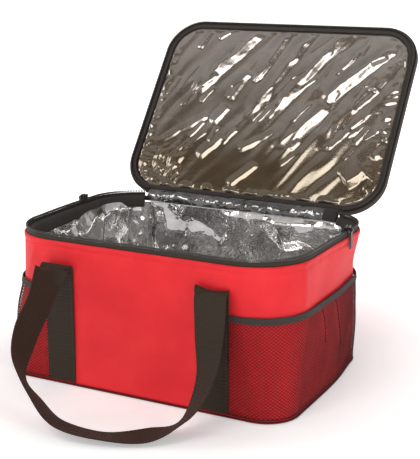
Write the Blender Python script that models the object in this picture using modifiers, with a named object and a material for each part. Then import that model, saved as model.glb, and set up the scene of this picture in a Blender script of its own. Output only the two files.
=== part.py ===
"""Soft insulated cooler bag with an open lid, webbing handles and net end pockets.

Units are metres. +X runs along the bag, +Y points to its back, +Z is up, and the
origin is the middle of the flat base. The lid stands open and leans back.
"""

import math

import bmesh
import bpy
from mathutils import Matrix, Vector

# Outer body
RIM_LENGTH = 0.360
RIM_DEPTH = 0.264
RIM_RADIUS = 0.066
TAPER = 0.002
BASE_LENGTH = RIM_LENGTH - TAPER
BASE_DEPTH = RIM_DEPTH - TAPER
BASE_RADIUS = 0.040
WALL_HEIGHT = 0.168
CLEARANCE = 0.0003

# Layers, from the outside in
SHELL = 0.0012
BASE_SHELL = 0.0015
BOARD = 0.0025
FOAM = 0.0050
BASE_FOAM = 0.0060
FOIL = 0.0008
PIPING_RADIUS = 0.0015

# Zip round the mouth
TAPE = 0.0010
TAPE_RISE = 0.0050
TAPE_TUCK = 0.0050
TEETH_WIDTH = 0.0022
TEETH_HEIGHT = 0.0024
FACING = 0.0010
FACING_DROP = 0.0180
FACING_SLOPE = 0.0024

# Hinge and lid
HINGE_LENGTH = 0.272
HINGE_RISE = 0.0090
HINGE_CLOTH = 0.0010
ZIP_END_MARGIN = 0.003
LID_OPEN = math.radians(126)
LID_RADIUS = 0.048
LID_SKIRT = 0.0040
LID_CROWN = 0.0020
LID_FOAM = 0.0060
LID_FOAM_ROOM = 0.0007
LID_EDGE_ROUND = 0.0036
LID_PIPING_RADIUS = 0.0012
BINDING_WIDTH = 0.0057
BINDING_THICK = 0.0019
BINDING_RECESS = 0.0010
SLIDER_ROOM = 0.0026

# Slider and pull
SLIDER_LENGTH = 0.0100
SLIDER_PLATE = 0.0012
SLIDER_PLAY = 0.00035
SLIDER_REST = 0.042
POST_LENGTH = 0.0040
BAR_RADIUS = 0.0008
BAR_REACH = 0.0024
BAR_SPAN = 0.0068
PULL_RING_WALL = 0.0010
PULL_WIDTH = 0.0064
PULL_LENGTH = 0.0220
PULL_THICK = 0.0014
STOP_LENGTH = 0.0030
STOP_WIDTH = 0.0028
STOP_HEIGHT = 0.0032

# Webbing
WEBBING = 0.037
WEBBING_THICK = 0.0016
STRAP_SPACING = 0.190
STRAP_TOP = 0.139
STRAP_START = 0.0042
PIVOT_HEIGHT = 0.136
HOOK_RADIUS = 0.0045

# Net pockets
POCKET_TOP = 0.106
POCKET_TOP_RISE = 0.006
POCKET_BULGE = 0.0075
NET = 0.0010
NET_SEAT = 0.0009
POCKET_BINDING = 0.0080
POCKET_BINDING_THICK = 0.0022

# Steps of the outline
CORNER_STEPS = 9
LONG_STEPS = 8
SHORT_STEPS = 6

# The front handle's drape from the left pivot to the right one: where its middle
# lies, and which way its width runs.
HANDLE_ROUTE = [
    ((-0.094, -0.155, 0.130), (0.87, 0.36, -0.35)),
    ((-0.095, -0.169, 0.113), (0.51, 0.65, -0.57)),
    ((-0.096, -0.198, 0.078), (0.20, 0.75, -0.63)),
    ((-0.083, -0.225, 0.046), (-0.10, 0.76, -0.64)),
    ((-0.048, -0.239, 0.021), (-0.06, 0.86, -0.51)),
    ((-0.007, -0.244, 0.008), (-0.09, 0.96, -0.25)),
    ((0.037, -0.235, 0.004), (-0.37, 0.92, -0.08)),
    ((0.075, -0.213, 0.006), (-0.57, 0.81, -0.12)),
    ((0.100, -0.183, 0.028), (-0.68, 0.65, -0.33)),
    ((0.102, -0.160, 0.064), (-0.87, 0.43, -0.24)),
    ((0.097, -0.146, 0.106), (-1.00, 0.05, -0.08)),
]
ROUTE_STEPS = 4

COLLECTION = "insulated_cooler_bag"

RED = (0.68, 0.035, 0.04)
BLACK = (0.032, 0.028, 0.022)
NET_BLACK = (0.05, 0.02, 0.02)
SILVER = (0.72, 0.72, 0.74)
FOAM_GREY = (0.55, 0.56, 0.58)
BOARD_GREY = (0.10, 0.10, 0.10)


def clear_scene():
    for old in list(bpy.data.objects):
        bpy.data.objects.remove(old, do_unlink=True)


def make_material(name, colour, roughness, metallic=0.0):
    material = bpy.data.materials.new(name)
    material.use_nodes = True
    shader = material.node_tree.nodes["Principled BSDF"]
    shader.inputs["Base Color"].default_value = (*colour, 1.0)
    shader.inputs["Roughness"].default_value = roughness
    shader.inputs["Metallic"].default_value = metallic
    return material


def add_object(name, data, material, parent=None):
    """Link an object to the bag's collection under its parent."""
    made = bpy.data.objects.new(name, data)
    bpy.data.collections[COLLECTION].objects.link(made)
    data.materials.append(material)
    made.parent = parent
    return made


def mesh_from(name, vertices, faces):
    mesh = bpy.data.meshes.new(name)
    mesh.from_pydata([tuple(v) for v in vertices], [], faces)
    working = bmesh.new()
    working.from_mesh(mesh)
    bmesh.ops.recalc_face_normals(working, faces=working.faces)
    working.to_mesh(mesh)
    working.free()
    mesh.validate()
    mesh.shade_smooth()
    mesh.set_sharp_from_angle(angle=math.radians(35))
    return mesh


def rounded_outline(length, depth, radius):
    """Points of a rounded rectangle, anticlockwise from the front of the right end."""
    radius = max(radius, 0.0005)
    reach_x = length / 2 - radius
    reach_y = depth / 2 - radius
    points = []
    corners = [(1, -1, -90), (1, 1, 0), (-1, 1, 90), (-1, -1, 180)]
    for index, (side_x, side_y, start) in enumerate(corners):
        for step in range(CORNER_STEPS + 1):
            angle = math.radians(start + 90 * step / CORNER_STEPS)
            x = side_x * reach_x + radius * math.cos(angle)
            y = side_y * reach_y + radius * math.sin(angle)
            points.append((x, y))
        following = corners[(index + 1) % 4]
        leave = points[-1]
        begin = math.radians(following[2])
        arrive = (
            following[0] * reach_x + radius * math.cos(begin),
            following[1] * reach_y + radius * math.sin(begin),
        )
        steps = SHORT_STEPS if index % 2 == 0 else LONG_STEPS
        for step in range(1, steps):
            share = step / steps
            points.append(tuple(a + (b - a) * share for a, b in zip(leave, arrive)))
    return points


def smooth_step(share):
    share = min(max(share, 0.0), 1.0)
    return share * share * (3 - 2 * share)


def body_size(height):
    """Length, depth and corner radius of the body's outside at a height."""
    share = height / WALL_HEIGHT
    blend = smooth_step(share)
    share = min(max(share, 0.0), 1.0)
    return (
        BASE_LENGTH + (RIM_LENGTH - BASE_LENGTH) * share,
        BASE_DEPTH + (RIM_DEPTH - BASE_DEPTH) * share,
        BASE_RADIUS + (RIM_RADIUS - BASE_RADIUS) * blend,
    )


def body_outline(inset, height):
    length, depth, radius = body_size(height)
    return rounded_outline(length - 2 * inset, depth - 2 * inset, radius - inset)


def lid_outline(inset, _height):
    """The lid's outline, the same at every height, in a frame whose rear edge is the hinge line."""
    flat = rounded_outline(
        RIM_LENGTH - 2 * inset, RIM_DEPTH - 2 * inset, LID_RADIUS - inset
    )
    return [(x, y - RIM_DEPTH / 2) for x, y in flat]


def swept_ring(name, outline, profile, material, parent=None, open_ring=False):
    """Sweep a closed profile of (inset, height) points round an outline.

    An open ring stops at both ends of the hinge and has end faces."""
    rings = []
    for inset, height in profile:
        points = outline(inset, height)
        if open_ring:
            points = zip_stretch(points, outline(0.0, WALL_HEIGHT))
        rings.append([(x, y, height) for x, y in points])
    count = len(rings[0])
    rows = len(rings)
    vertices = [point for ring in rings for point in ring]
    faces = []
    last = count - 1 if open_ring else count
    for row in range(rows):
        near = row * count
        far = (row + 1) % rows * count
        for step in range(last):
            ahead = (step + 1) % count
            faces.append((near + step, near + ahead, far + ahead, far + step))
    if open_ring:
        faces.append([row * count for row in range(rows)])
        faces.append([row * count + count - 1 for row in reversed(range(rows))])
    return add_object(name, mesh_from(name, vertices, faces), material, parent)


def zip_stretch(points, reference):
    """The outline without the hinge, from its left end round the front to its right end.

    The reference decides which points go, so that every ring keeps as many."""
    half = HINGE_LENGTH / 2
    middle = sum(y for _, y in reference) / len(reference)
    dropped = [
        index
        for index, (x, y) in enumerate(reference)
        if y > middle and abs(x) < half + ZIP_END_MARGIN
    ]
    first = max(dropped) + 1
    kept = points[first:] + points[: min(dropped)]
    ends = []
    for index, side in ((min(dropped) - 1, 1), (max(dropped) + 1, -1)):
        direction = side
        while abs(points[index + direction][0]) > half:
            index += direction
        a = points[index]
        b = points[index + direction]
        share = (abs(a[0]) - half) / (abs(a[0]) - abs(b[0]))
        ends.append((a[0] + (b[0] - a[0]) * share, a[1] + (b[1] - a[1]) * share))
    return [ends[1], *kept, ends[0]]


def plate(name, outline, inset, bottom, top, material, parent=None):
    """A flat panel: a filled outline extruded to its thickness."""
    curve = bpy.data.curves.new(name, "CURVE")
    curve.dimensions = "2D"
    curve.fill_mode = "BOTH"
    curve.extrude = (top - bottom) / 2
    points = outline(inset, bottom)
    spline = curve.splines.new("POLY")
    spline.points.add(len(points) - 1)
    for target, (x, y) in zip(spline.points, points):
        target.co = (x, y, 0.0, 1.0)
    spline.use_cyclic_u = True
    made = add_object(name, curve, material, parent)
    made.location.z = (top + bottom) / 2
    return made


def round_profile(inset, height, radius, steps=8):
    points = []
    for step in range(steps):
        angle = 2 * math.pi * (step + 0.5) / steps
        points.append((inset + radius * math.cos(angle), height + radius * math.sin(angle)))
    return points


def wall_profile(outer, inner, bottom, top, levels=6):
    """A wall's section: up its outside and down its inside."""
    heights = [bottom + (top - bottom) * level / levels for level in range(levels + 1)]
    return [(outer, z) for z in heights] + [(inner, z) for z in reversed(heights)]


def box(name, centre, size, material, parent=None):
    mesh = bpy.data.meshes.new(name)
    working = bmesh.new()
    bmesh.ops.create_cube(working, size=1.0)
    bmesh.ops.scale(working, vec=size, verts=working.verts)
    bmesh.ops.translate(working, vec=centre, verts=working.verts)
    working.to_mesh(mesh)
    working.free()
    return add_object(name, mesh, material, parent)


def rod(name, centre, radius, length, material, parent=None, sides=14):
    """A round bar along Y."""
    mesh = bpy.data.meshes.new(name)
    working = bmesh.new()
    bmesh.ops.create_cone(
        working,
        cap_ends=True,
        segments=sides,
        radius1=radius,
        radius2=radius,
        depth=length,
        matrix=Matrix.Translation(centre) @ Matrix.Rotation(math.pi / 2, 4, "X"),
    )
    working.to_mesh(mesh)
    working.free()
    return add_object(name, mesh, material, parent)


def combine(target, tool, operation):
    """Join a tool to a piece, or cut it away, and hide the tool."""
    modifier = target.modifiers.new(operation.lower(), "BOOLEAN")
    modifier.object = tool
    modifier.operation = operation
    bpy.data.collections[COLLECTION].objects.unlink(tool)
    bpy.data.collections["cutters"].objects.link(tool)
    tool.hide_render = True
    tool.display_type = "WIRE"


# ---------------------------------------------------------------- body layers

BOARD_BOTTOM = BASE_SHELL + CLEARANCE
BASE_FOAM_BOTTOM = BOARD_BOTTOM + BOARD + CLEARANCE
LINING_BOTTOM = BASE_FOAM_BOTTOM + BASE_FOAM + CLEARANCE
WALL_FOAM_OUTER = SHELL + CLEARANCE
WALL_FOAM_INNER = WALL_FOAM_OUTER + FOAM
LINER_OUTER = WALL_FOAM_INNER + CLEARANCE
LINER_INNER = LINER_OUTER + FOIL
FACING_OUTER = LINER_INNER + CLEARANCE
FACING_INNER = FACING_OUTER + FACING
TAPE_OUTER = SHELL + CLEARANCE
TAPE_INNER = TAPE_OUTER + TAPE
TAPE_BOTTOM = WALL_HEIGHT - TAPE_TUCK
TAPE_TOP = WALL_HEIGHT + TAPE_RISE
WALL_FOAM_TOP = TAPE_BOTTOM - CLEARANCE
LINER_TOP = TAPE_BOTTOM
TEETH_BOTTOM = TAPE_TOP + CLEARANCE
TEETH_TOP = TEETH_BOTTOM + TEETH_HEIGHT
TEETH_OUTER = (TAPE_OUTER + TAPE_INNER - TEETH_WIDTH) / 2
TEETH_INNER = TEETH_OUTER + TEETH_WIDTH
FACING_TOP = TAPE_TOP - 2 * CLEARANCE


def build_body(cloth, foam, foil, board):
    plate("base_shell", body_outline, 0.0, 0.0, BASE_SHELL, cloth)
    piping_inset = -PIPING_RADIUS - CLEARANCE
    piping_height = PIPING_RADIUS + 2 * CLEARANCE
    swept_ring(
        "base_piping", body_outline, round_profile(piping_inset, piping_height, PIPING_RADIUS), cloth
    )
    plate("base_board", body_outline, WALL_FOAM_OUTER, BOARD_BOTTOM, BOARD_BOTTOM + BOARD, board)
    plate(
        "base_insulation",
        body_outline,
        WALL_FOAM_OUTER,
        BASE_FOAM_BOTTOM,
        BASE_FOAM_BOTTOM + BASE_FOAM,
        foam,
    )
    swept_ring(
        "wall_shell", body_outline, wall_profile(0.0, SHELL, BOARD_BOTTOM, WALL_HEIGHT, 8), cloth
    )
    swept_ring(
        "wall_insulation",
        body_outline,
        wall_profile(WALL_FOAM_OUTER, WALL_FOAM_INNER, LINING_BOTTOM, WALL_FOAM_TOP),
        foam,
    )
    swept_ring(
        "wall_liner",
        body_outline,
        wall_profile(LINER_OUTER, LINER_INNER, LINING_BOTTOM, LINER_TOP),
        foil,
    )
    plate(
        "floor_liner", body_outline, LINER_INNER + CLEARANCE, LINING_BOTTOM, LINING_BOTTOM + FOIL, foil
    )


def build_mouth(black, teeth, metal):
    """The zip's lower half and the black facing inside the mouth."""
    swept_ring(
        "body_zip_tape",
        body_outline,
        [(TAPE_OUTER, TAPE_BOTTOM), (TAPE_OUTER, TAPE_TOP), (TAPE_INNER, TAPE_TOP), (TAPE_INNER, TAPE_BOTTOM)],
        black,
        open_ring=True,
    )
    swept_ring(
        "body_zip_teeth",
        body_outline,
        [
            (TEETH_OUTER, TEETH_BOTTOM),
            (TEETH_OUTER, TEETH_TOP),
            (TEETH_INNER, TEETH_TOP),
            (TEETH_INNER, TEETH_BOTTOM),
        ],
        teeth,
        open_ring=True,
    )
    edge = TAPE_INNER + CLEARANCE
    bottom = FACING_TOP - FACING_DROP
    swept_ring(
        "rim_facing",
        body_outline,
        [
            (edge, FACING_TOP),
            (FACING_INNER, FACING_TOP - FACING_SLOPE),
            (FACING_INNER, bottom),
            (FACING_OUTER, bottom),
            (FACING_OUTER, FACING_TOP - FACING_SLOPE - FACING),
            (edge, FACING_TOP - FACING),
        ],
        black,
        open_ring=True,
    )
    ends = zip_stretch(
        body_outline((TEETH_OUTER + TEETH_INNER) / 2, TEETH_TOP), body_outline(0.0, WALL_HEIGHT)
    )
    for name, (x, y) in (("left_end_stop", ends[0]), ("right_end_stop", ends[-1])):
        stop = box(name, (0, 0, 0), (STOP_LENGTH, STOP_WIDTH, STOP_HEIGHT), metal)
        towards_hinge = math.copysign(CLEARANCE + STOP_LENGTH / 2, -x)
        stop.location = (x + towards_hinge, y, TEETH_BOTTOM + TEETH_HEIGHT / 2)


# ------------------------------------------------------------------------ lid

HINGE_Y = RIM_DEPTH / 2
HINGE_Z = WALL_HEIGHT + HINGE_RISE
LID_TEETH_BOTTOM = TEETH_TOP + SLIDER_ROOM - HINGE_Z
LID_TEETH_TOP = LID_TEETH_BOTTOM + TEETH_HEIGHT
LID_TAPE_BOTTOM = LID_TEETH_TOP + CLEARANCE
BINDING_BOTTOM = LID_TAPE_BOTTOM + BINDING_RECESS
LID_FOIL_BOTTOM = BINDING_BOTTOM + BINDING_THICK + CLEARANCE
LID_FOAM_BOTTOM = LID_FOIL_BOTTOM + FOIL + CLEARANCE
LID_FOAM_TOP = LID_FOAM_BOTTOM + LID_FOAM
LID_INNER = TAPE_INNER + CLEARANCE
LID_SKIRT_BOTTOM = LID_FOAM_BOTTOM
LID_TOP = LID_FOAM_TOP + SHELL + LID_FOAM_ROOM
LID_PIPING_HEIGHT = LID_SKIRT_BOTTOM - LID_PIPING_RADIUS - CLEARANCE


def build_lid(cloth, black, foam, foil, teeth):
    pivot = bpy.data.objects.new("lid_pivot", None)
    bpy.data.collections[COLLECTION].objects.link(pivot)
    pivot.location = (0, HINGE_Y, HINGE_Z)
    pivot.rotation_euler.x = -LID_OPEN

    # The cover: a shallow tray, open below, with a rolled edge and a slight crown.
    rings = [(0.0, LID_SKIRT_BOTTOM), (0.0, LID_TOP - LID_EDGE_ROUND)]
    for step in range(1, 5):
        angle = math.pi / 2 * step / 4
        inset = LID_EDGE_ROUND * (1 - math.cos(angle))
        rings.append((inset, LID_TOP - LID_EDGE_ROUND * (1 - math.sin(angle))))
    reach = RIM_DEPTH / 2 - 0.012
    for step in range(1, 5):
        share = step / 4
        inset = LID_EDGE_ROUND + (reach - LID_EDGE_ROUND) * share
        rings.append((inset, LID_TOP + LID_CROWN * math.sin(math.pi / 2 * share)))
    loops = [[(x, y, z) for x, y in lid_outline(inset, z)] for inset, z in rings]
    count = len(loops[0])
    vertices = [point for loop in loops for point in loop]
    faces = []
    for row in range(len(loops) - 1):
        for step in range(count):
            ahead = (step + 1) % count
            faces.append(
                (row * count + step, row * count + ahead, (row + 1) * count + ahead, (row + 1) * count + step)
            )
    faces.append([(len(loops) - 1) * count + step for step in range(count)])
    cover = add_object("lid_cover", mesh_from("lid_cover", vertices, faces), cloth, pivot)
    skin = cover.modifiers.new("skin", "SOLIDIFY")
    skin.thickness = SHELL
    skin.offset = -1.0
    skin.use_even_offset = True

    plate("lid_insulation", lid_outline, LID_INNER, LID_FOAM_BOTTOM, LID_FOAM_TOP, foam, pivot)
    plate("lid_liner", lid_outline, LID_INNER, LID_FOIL_BOTTOM, LID_FOIL_BOTTOM + FOIL, foil, pivot)
    binding_top = BINDING_BOTTOM + BINDING_THICK
    swept_ring(
        "lid_binding",
        lid_outline,
        [
            (LID_INNER, BINDING_BOTTOM + BINDING_THICK * 0.3),
            (LID_INNER, binding_top),
            (LID_INNER + BINDING_WIDTH, binding_top),
            (LID_INNER + BINDING_WIDTH, BINDING_BOTTOM + BINDING_THICK * 0.4),
            (LID_INNER + BINDING_WIDTH * 0.7, BINDING_BOTTOM),
            (LID_INNER + BINDING_WIDTH * 0.25, BINDING_BOTTOM),
        ],
        black,
        pivot,
    )
    swept_ring(
        "lid_piping",
        lid_outline,
        round_profile(-CLEARANCE, LID_PIPING_HEIGHT, LID_PIPING_RADIUS),
        black,
        pivot,
    )
    tape_top = LID_SKIRT_BOTTOM + LID_SKIRT
    swept_ring(
        "lid_zip_tape",
        lid_outline,
        [
            (TAPE_OUTER, LID_TAPE_BOTTOM),
            (TAPE_OUTER, tape_top),
            (TAPE_INNER, tape_top),
            (TAPE_INNER, LID_TAPE_BOTTOM),
        ],
        black,
        pivot,
        open_ring=True,
    )
    swept_ring(
        "lid_zip_teeth",
        lid_outline,
        [
            (TEETH_OUTER, LID_TEETH_BOTTOM),
            (TEETH_OUTER, LID_TEETH_TOP),
            (TEETH_INNER, LID_TEETH_TOP),
            (TEETH_INNER, LID_TEETH_BOTTOM),
        ],
        teeth,
        pivot,
        open_ring=True,
    )
    return pivot


def lid_point(y, z):
    """A point of the lid's own frame, in the bag's YZ plane with the lid open."""
    turned = Matrix.Rotation(-LID_OPEN, 3, "X") @ Vector((0, y, z))
    return (HINGE_Y + turned.y, HINGE_Z + turned.z)


def strip_along(name, line, thickness, length, material):
    """A cloth strip whose section follows a line in the YZ plane."""
    middle = [Vector(p) for p in line]
    sides = []
    for index, point in enumerate(middle):
        before = middle[max(index - 1, 0)]
        after = middle[min(index + 1, len(middle) - 1)]
        along = (after - before).normalized()
        across = Vector((-along.y, along.x)) * thickness / 2
        sides.append((point + across, point - across))
    section = [a for a, _ in sides] + [b for _, b in reversed(sides)]
    count = len(section)
    vertices = [(x, p.x, p.y) for x in (-length / 2, length / 2) for p in section]
    faces = [(i, (i + 1) % count, count + (i + 1) % count, count + i) for i in range(count)]
    strips = len(middle) - 1
    for base in (0, count):
        for i in range(strips):
            faces.append((base + i, base + i + 1, base + count - 2 - i, base + count - 1 - i))
    return add_object(name, mesh_from(name, vertices, faces), material)


def build_hinge(black, foil):
    """Two cloth strips carry the lid: one outside the rear wall, one lining the gap."""
    length = HINGE_LENGTH - 2 * (STOP_LENGTH + 2 * CLEARANCE)
    outside = RIM_DEPTH / 2 + CLEARANCE + HINGE_CLOTH / 2
    seam_y, seam_z = lid_point(CLEARANCE, LID_PIPING_HEIGHT)
    seam_y -= LID_PIPING_RADIUS + CLEARANCE
    strip_along(
        "hinge_strip",
        [
            (outside, TAPE_BOTTOM),
            (outside, WALL_HEIGHT),
            (outside + (seam_y - outside) * 0.3, WALL_HEIGHT + (seam_z - WALL_HEIGHT) * 0.8),
            (seam_y, seam_z),
        ],
        HINGE_CLOTH,
        length,
        black,
    )
    inside = RIM_DEPTH / 2 - (LINER_OUTER + LINER_INNER) / 2
    edge_y, edge_z = lid_point(-LID_INNER, BINDING_BOTTOM)
    edge_y -= 2 * CLEARANCE
    strip_along(
        "hinge_liner",
        [
            (inside, LINER_TOP + CLEARANCE),
            (inside + (edge_y - inside) * 0.05, LINER_TOP + (edge_z - LINER_TOP) * 0.35),
            (inside + (edge_y - inside) * 0.25, LINER_TOP + (edge_z - LINER_TOP) * 0.75),
            (inside + (edge_y - inside) * 0.55, edge_z - HINGE_CLOTH / 2),
            (edge_y, edge_z),
        ],
        HINGE_CLOTH,
        length,
        foil,
    )


# ----------------------------------------------------------- sliders and pulls


def build_sliders(metal):
    middle = RIM_LENGTH / 2 - (TAPE_OUTER + TAPE_INNER) / 2
    plate_inner = TEETH_WIDTH / 2 + SLIDER_PLAY
    plate_centre = plate_inner + SLIDER_PLATE / 2
    bottom = FACING_TOP + 2 * CLEARANCE
    top = HINGE_Z + LID_TEETH_TOP + 2 * CLEARANCE
    post_bottom = TEETH_TOP + CLEARANCE
    post_top = HINGE_Z + LID_TEETH_BOTTOM - CLEARANCE
    height = top - bottom
    centre_z = (top + bottom) / 2
    bar_z = (post_bottom + post_top) / 2
    plate_face = plate_inner + SLIDER_PLATE
    bar_x = plate_face + BAR_REACH
    for side, name in ((-1, "left"), (1, "right")):
        slider = box(
            f"{name}_slider",
            (side * plate_centre, 0, centre_z - bar_z),
            (SLIDER_PLATE, SLIDER_LENGTH, height),
            metal,
        )
        slider.location = (side * middle, SLIDER_REST, bar_z)
        inner = box(
            f"{name}_slider_inner_plate",
            (-side * plate_centre, 0, centre_z - bar_z),
            (SLIDER_PLATE, SLIDER_LENGTH, height),
            metal,
            slider,
        )
        combine(slider, inner, "UNION")
        post = box(
            f"{name}_slider_post",
            (0, 0, 0),
            (2 * plate_centre, POST_LENGTH, post_top - post_bottom),
            metal,
            slider,
        )
        combine(slider, post, "UNION")
        for end in (-1, 1):
            ear = box(
                f"{name}_slider_ear_{'front' if end < 0 else 'rear'}",
                (side * (plate_centre + bar_x) / 2, end * BAR_SPAN / 2, 0),
                (bar_x - plate_centre + BAR_RADIUS, BAR_RADIUS * 1.6, BAR_RADIUS * 2.4),
                metal,
                slider,
            )
            combine(slider, ear, "UNION")
        bar = rod(f"{name}_slider_bar", (side * bar_x, 0, 0), BAR_RADIUS, BAR_SPAN, metal, slider)
        combine(slider, bar, "UNION")

        bore = BAR_RADIUS + CLEARANCE
        ring = bore + PULL_RING_WALL
        ring_width = BAR_SPAN - BAR_RADIUS * 1.6 - 4 * CLEARANCE
        pull = rod(f"{name}_pull", (0, 0, 0), ring, ring_width, metal, sides=20)
        pull.location = (side * (middle + bar_x), SLIDER_REST, bar_z)
        tab_top = bore + PULL_RING_WALL / 2
        tab = box(
            f"{name}_pull_tab",
            (0, 0, -(tab_top + PULL_LENGTH) / 2),
            (PULL_THICK, PULL_WIDTH, PULL_LENGTH - tab_top),
            metal,
            pull,
        )
        combine(pull, tab, "UNION")
        hole = rod(f"{name}_pull_bore", (0, 0, 0), bore, 2 * ring_width, metal, pull)
        combine(pull, hole, "DIFFERENCE")


# --------------------------------------------------------------------- webbing


def build_columns(webbing):
    """Webbing sewn up the front and back walls, where the handles start."""
    inner = CLEARANCE
    outer = CLEARANCE + WEBBING_THICK
    levels = 6
    for row, side_y in (("front", -1), ("rear", 1)):
        for column, side_x in (("left", -1), ("right", 1)):
            vertices = []
            for level in range(levels + 1):
                z = STRAP_START + (STRAP_TOP - STRAP_START) * level / levels
                face = body_size(z)[1] / 2
                for offset in (inner, outer):
                    for edge in (-1, 1):
                        x = side_x * STRAP_SPACING / 2 + edge * WEBBING / 2
                        vertices.append((x, side_y * (face + offset), z))
            faces = []
            for level in range(levels):
                low = level * 4
                high = low + 4
                for a, b in ((0, 1), (1, 3), (3, 2), (2, 0)):
                    faces.append((low + a, low + b, high + b, high + a))
            faces.append((0, 1, 3, 2))
            faces.append(tuple(levels * 4 + k for k in (0, 1, 3, 2)))
            name = f"{row}_{column}_column"
            add_object(name, mesh_from(name, vertices, faces), webbing)


def smooth_route(stations, steps):
    """Points and width directions along a smooth curve through the stations."""
    made = []
    count = len(stations)
    for index in range(count - 1):
        around = [stations[min(max(index + k, 0), count - 1)] for k in (-1, 0, 1, 2)]
        for step in range(steps):
            t = step / steps
            weights = (
                (-t + 2 * t * t - t**3) / 2,
                (2 - 5 * t * t + 3 * t**3) / 2,
                (t + 4 * t * t - 3 * t**3) / 2,
                (-t * t + t**3) / 2,
            )
            point = sum((w * s[0] for w, s in zip(weights, around)), Vector())
            width = sum((w * s[1] for w, s in zip(weights, around)), Vector())
            made.append((point, width.normalized()))
    made.append(stations[-1])
    return made


def handle_stations():
    """The drape with a hook over each pivot, in the pivot's frame."""
    wall = body_size(PIVOT_HEIGHT)[1] / 2
    stand_off = 2 * CLEARANCE + WEBBING_THICK * 1.5 + HOOK_RADIUS
    pivot = Vector((0, -(wall + stand_off), PIVOT_HEIGHT))
    right = Vector((1, 0, 0))
    half = STRAP_SPACING / 2
    stations = []
    for angle in (0, 50, 100, 150):
        turn = math.radians(angle)
        hook = Vector((-half, HOOK_RADIUS * math.cos(turn), HOOK_RADIUS * math.sin(turn)))
        stations.append((hook, right))
    for point, width in HANDLE_ROUTE:
        stations.append((Vector(point) - pivot, Vector(width).normalized()))
    stations.append((Vector((half, -HOOK_RADIUS, -HOOK_RADIUS)), -right))
    for angle in (180, 120, 60, 0):
        turn = math.radians(angle)
        hook = Vector((half, HOOK_RADIUS * math.cos(turn), HOOK_RADIUS * math.sin(turn)))
        stations.append((hook, -right))
    return pivot, stations


def build_handles(webbing):
    pivot, stations = handle_stations()
    route = smooth_route(stations, ROUTE_STEPS)
    count = len(route)
    vertices = []
    for index, (point, width) in enumerate(route):
        before = route[max(index - 1, 0)][0]
        after = route[min(index + 1, count - 1)][0]
        along = (after - before).normalized()
        across = (width - along * width.dot(along)).normalized()
        normal = along.cross(across)
        for side in (-1, 1):
            for face in (-1, 1):
                vertices.append(point + across * side * WEBBING / 2 + normal * face * WEBBING_THICK / 2)
    faces = []
    for index in range(count - 1):
        low = index * 4
        high = low + 4
        for a, b in ((0, 1), (1, 3), (3, 2), (2, 0)):
            faces.append((low + a, low + b, high + b, high + a))
    faces.append((0, 1, 3, 2))
    faces.append(tuple((count - 1) * 4 + k for k in (0, 1, 3, 2)))
    for name, turn in (("front_handle", 0.0), ("rear_handle", math.pi)):
        handle = add_object(name, mesh_from(name, vertices, faces), webbing)
        handle.rotation_euler.z = turn
        handle.location = Matrix.Rotation(turn, 3, "Z") @ pivot


# --------------------------------------------------------------------- pockets


def pocket_path(height):
    """The wall's outline round the right end, from the front column to the rear one.

    Each stop is a point, its outward direction and its share of the way round."""
    edge = STRAP_SPACING / 2 + WEBBING / 2 + CLEARANCE
    depth = body_size(height)[1] / 2
    around = 2 * (CORNER_STEPS + 1) + SHORT_STEPS - 1
    path = [Vector((edge, -depth))]
    path += [Vector(point) for point in body_outline(0.0, height)[:around]]
    path.append(Vector((edge, depth)))
    travelled = [0.0]
    for a, b in zip(path, path[1:]):
        travelled.append(travelled[-1] + (b - a).length)
    stops = []
    for index, point in enumerate(path):
        before = path[max(index - 1, 0)]
        after = path[min(index + 1, len(path) - 1)]
        along = (after - before).normalized()
        stops.append((point, Vector((along.y, -along.x)), travelled[index] / travelled[-1]))
    return stops


def pocket_top(share):
    return POCKET_TOP + POCKET_TOP_RISE * math.sin(math.pi * share)


def pocket_gap(share, rise):
    """How far the net stands off the wall: most at the middle of its top edge."""
    swell = math.sin(math.pi * share) ** 0.8 if 0 < share < 1 else 0.0
    return NET_SEAT + POCKET_BULGE * swell * smooth_step(rise)


def pocket_row(side, rise, offset, lift=0.0):
    """Points of the net round one end, at a share of its height and an offset from it."""
    shares = [share for _, _, share in pocket_path(POCKET_TOP)]
    row = []
    for index, share in enumerate(shares):
        height = STRAP_START + (pocket_top(share) - STRAP_START) * rise
        point, outward, _ = pocket_path(height)[index]
        moved = point + outward * (pocket_gap(share, rise) + offset)
        row.append((side * moved.x, moved.y, height + lift))
    return row


def grid_faces(rows, count):
    faces = []
    for row in range(rows - 1):
        for step in range(count - 1):
            start = row * count + step
            faces.append((start, start + 1, start + count + 1, start + count))
    return faces


def build_pockets(net, black):
    rows = 7
    for side, name in ((-1, "left"), (1, "right")):
        lines = [pocket_row(side, row / (rows - 1), NET / 2) for row in range(rows)]
        count = len(lines[0])
        vertices = [point for line in lines for point in line]
        mesh = mesh_from(f"{name}_pocket_net", vertices, grid_faces(rows, count))
        pocket = add_object(f"{name}_pocket_net", mesh, net)
        skin = pocket.modifiers.new("skin", "SOLIDIFY")
        skin.thickness = NET
        skin.offset = 0.0

        # The binding runs along the net's top edge.
        inner = (NET - POCKET_BINDING_THICK) / 2
        outer = (NET + POCKET_BINDING_THICK) / 2
        section = [
            (inner, CLEARANCE),
            (inner, POCKET_BINDING),
            (outer, POCKET_BINDING),
            (outer, CLEARANCE),
        ]
        lines = [pocket_row(side, 1.0, offset, lift) for offset, lift in section]
        vertices = [point for line in lines for point in line]
        faces = grid_faces(len(section), count)
        last = (len(section) - 1) * count
        faces += [(step, step + 1, last + step + 1, last + step) for step in range(count - 1)]
        faces.append([row * count for row in range(len(section))])
        faces.append([row * count + count - 1 for row in range(len(section))])
        mesh = mesh_from(f"{name}_pocket_binding", vertices, faces)
        add_object(f"{name}_pocket_binding", mesh, black)


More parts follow.
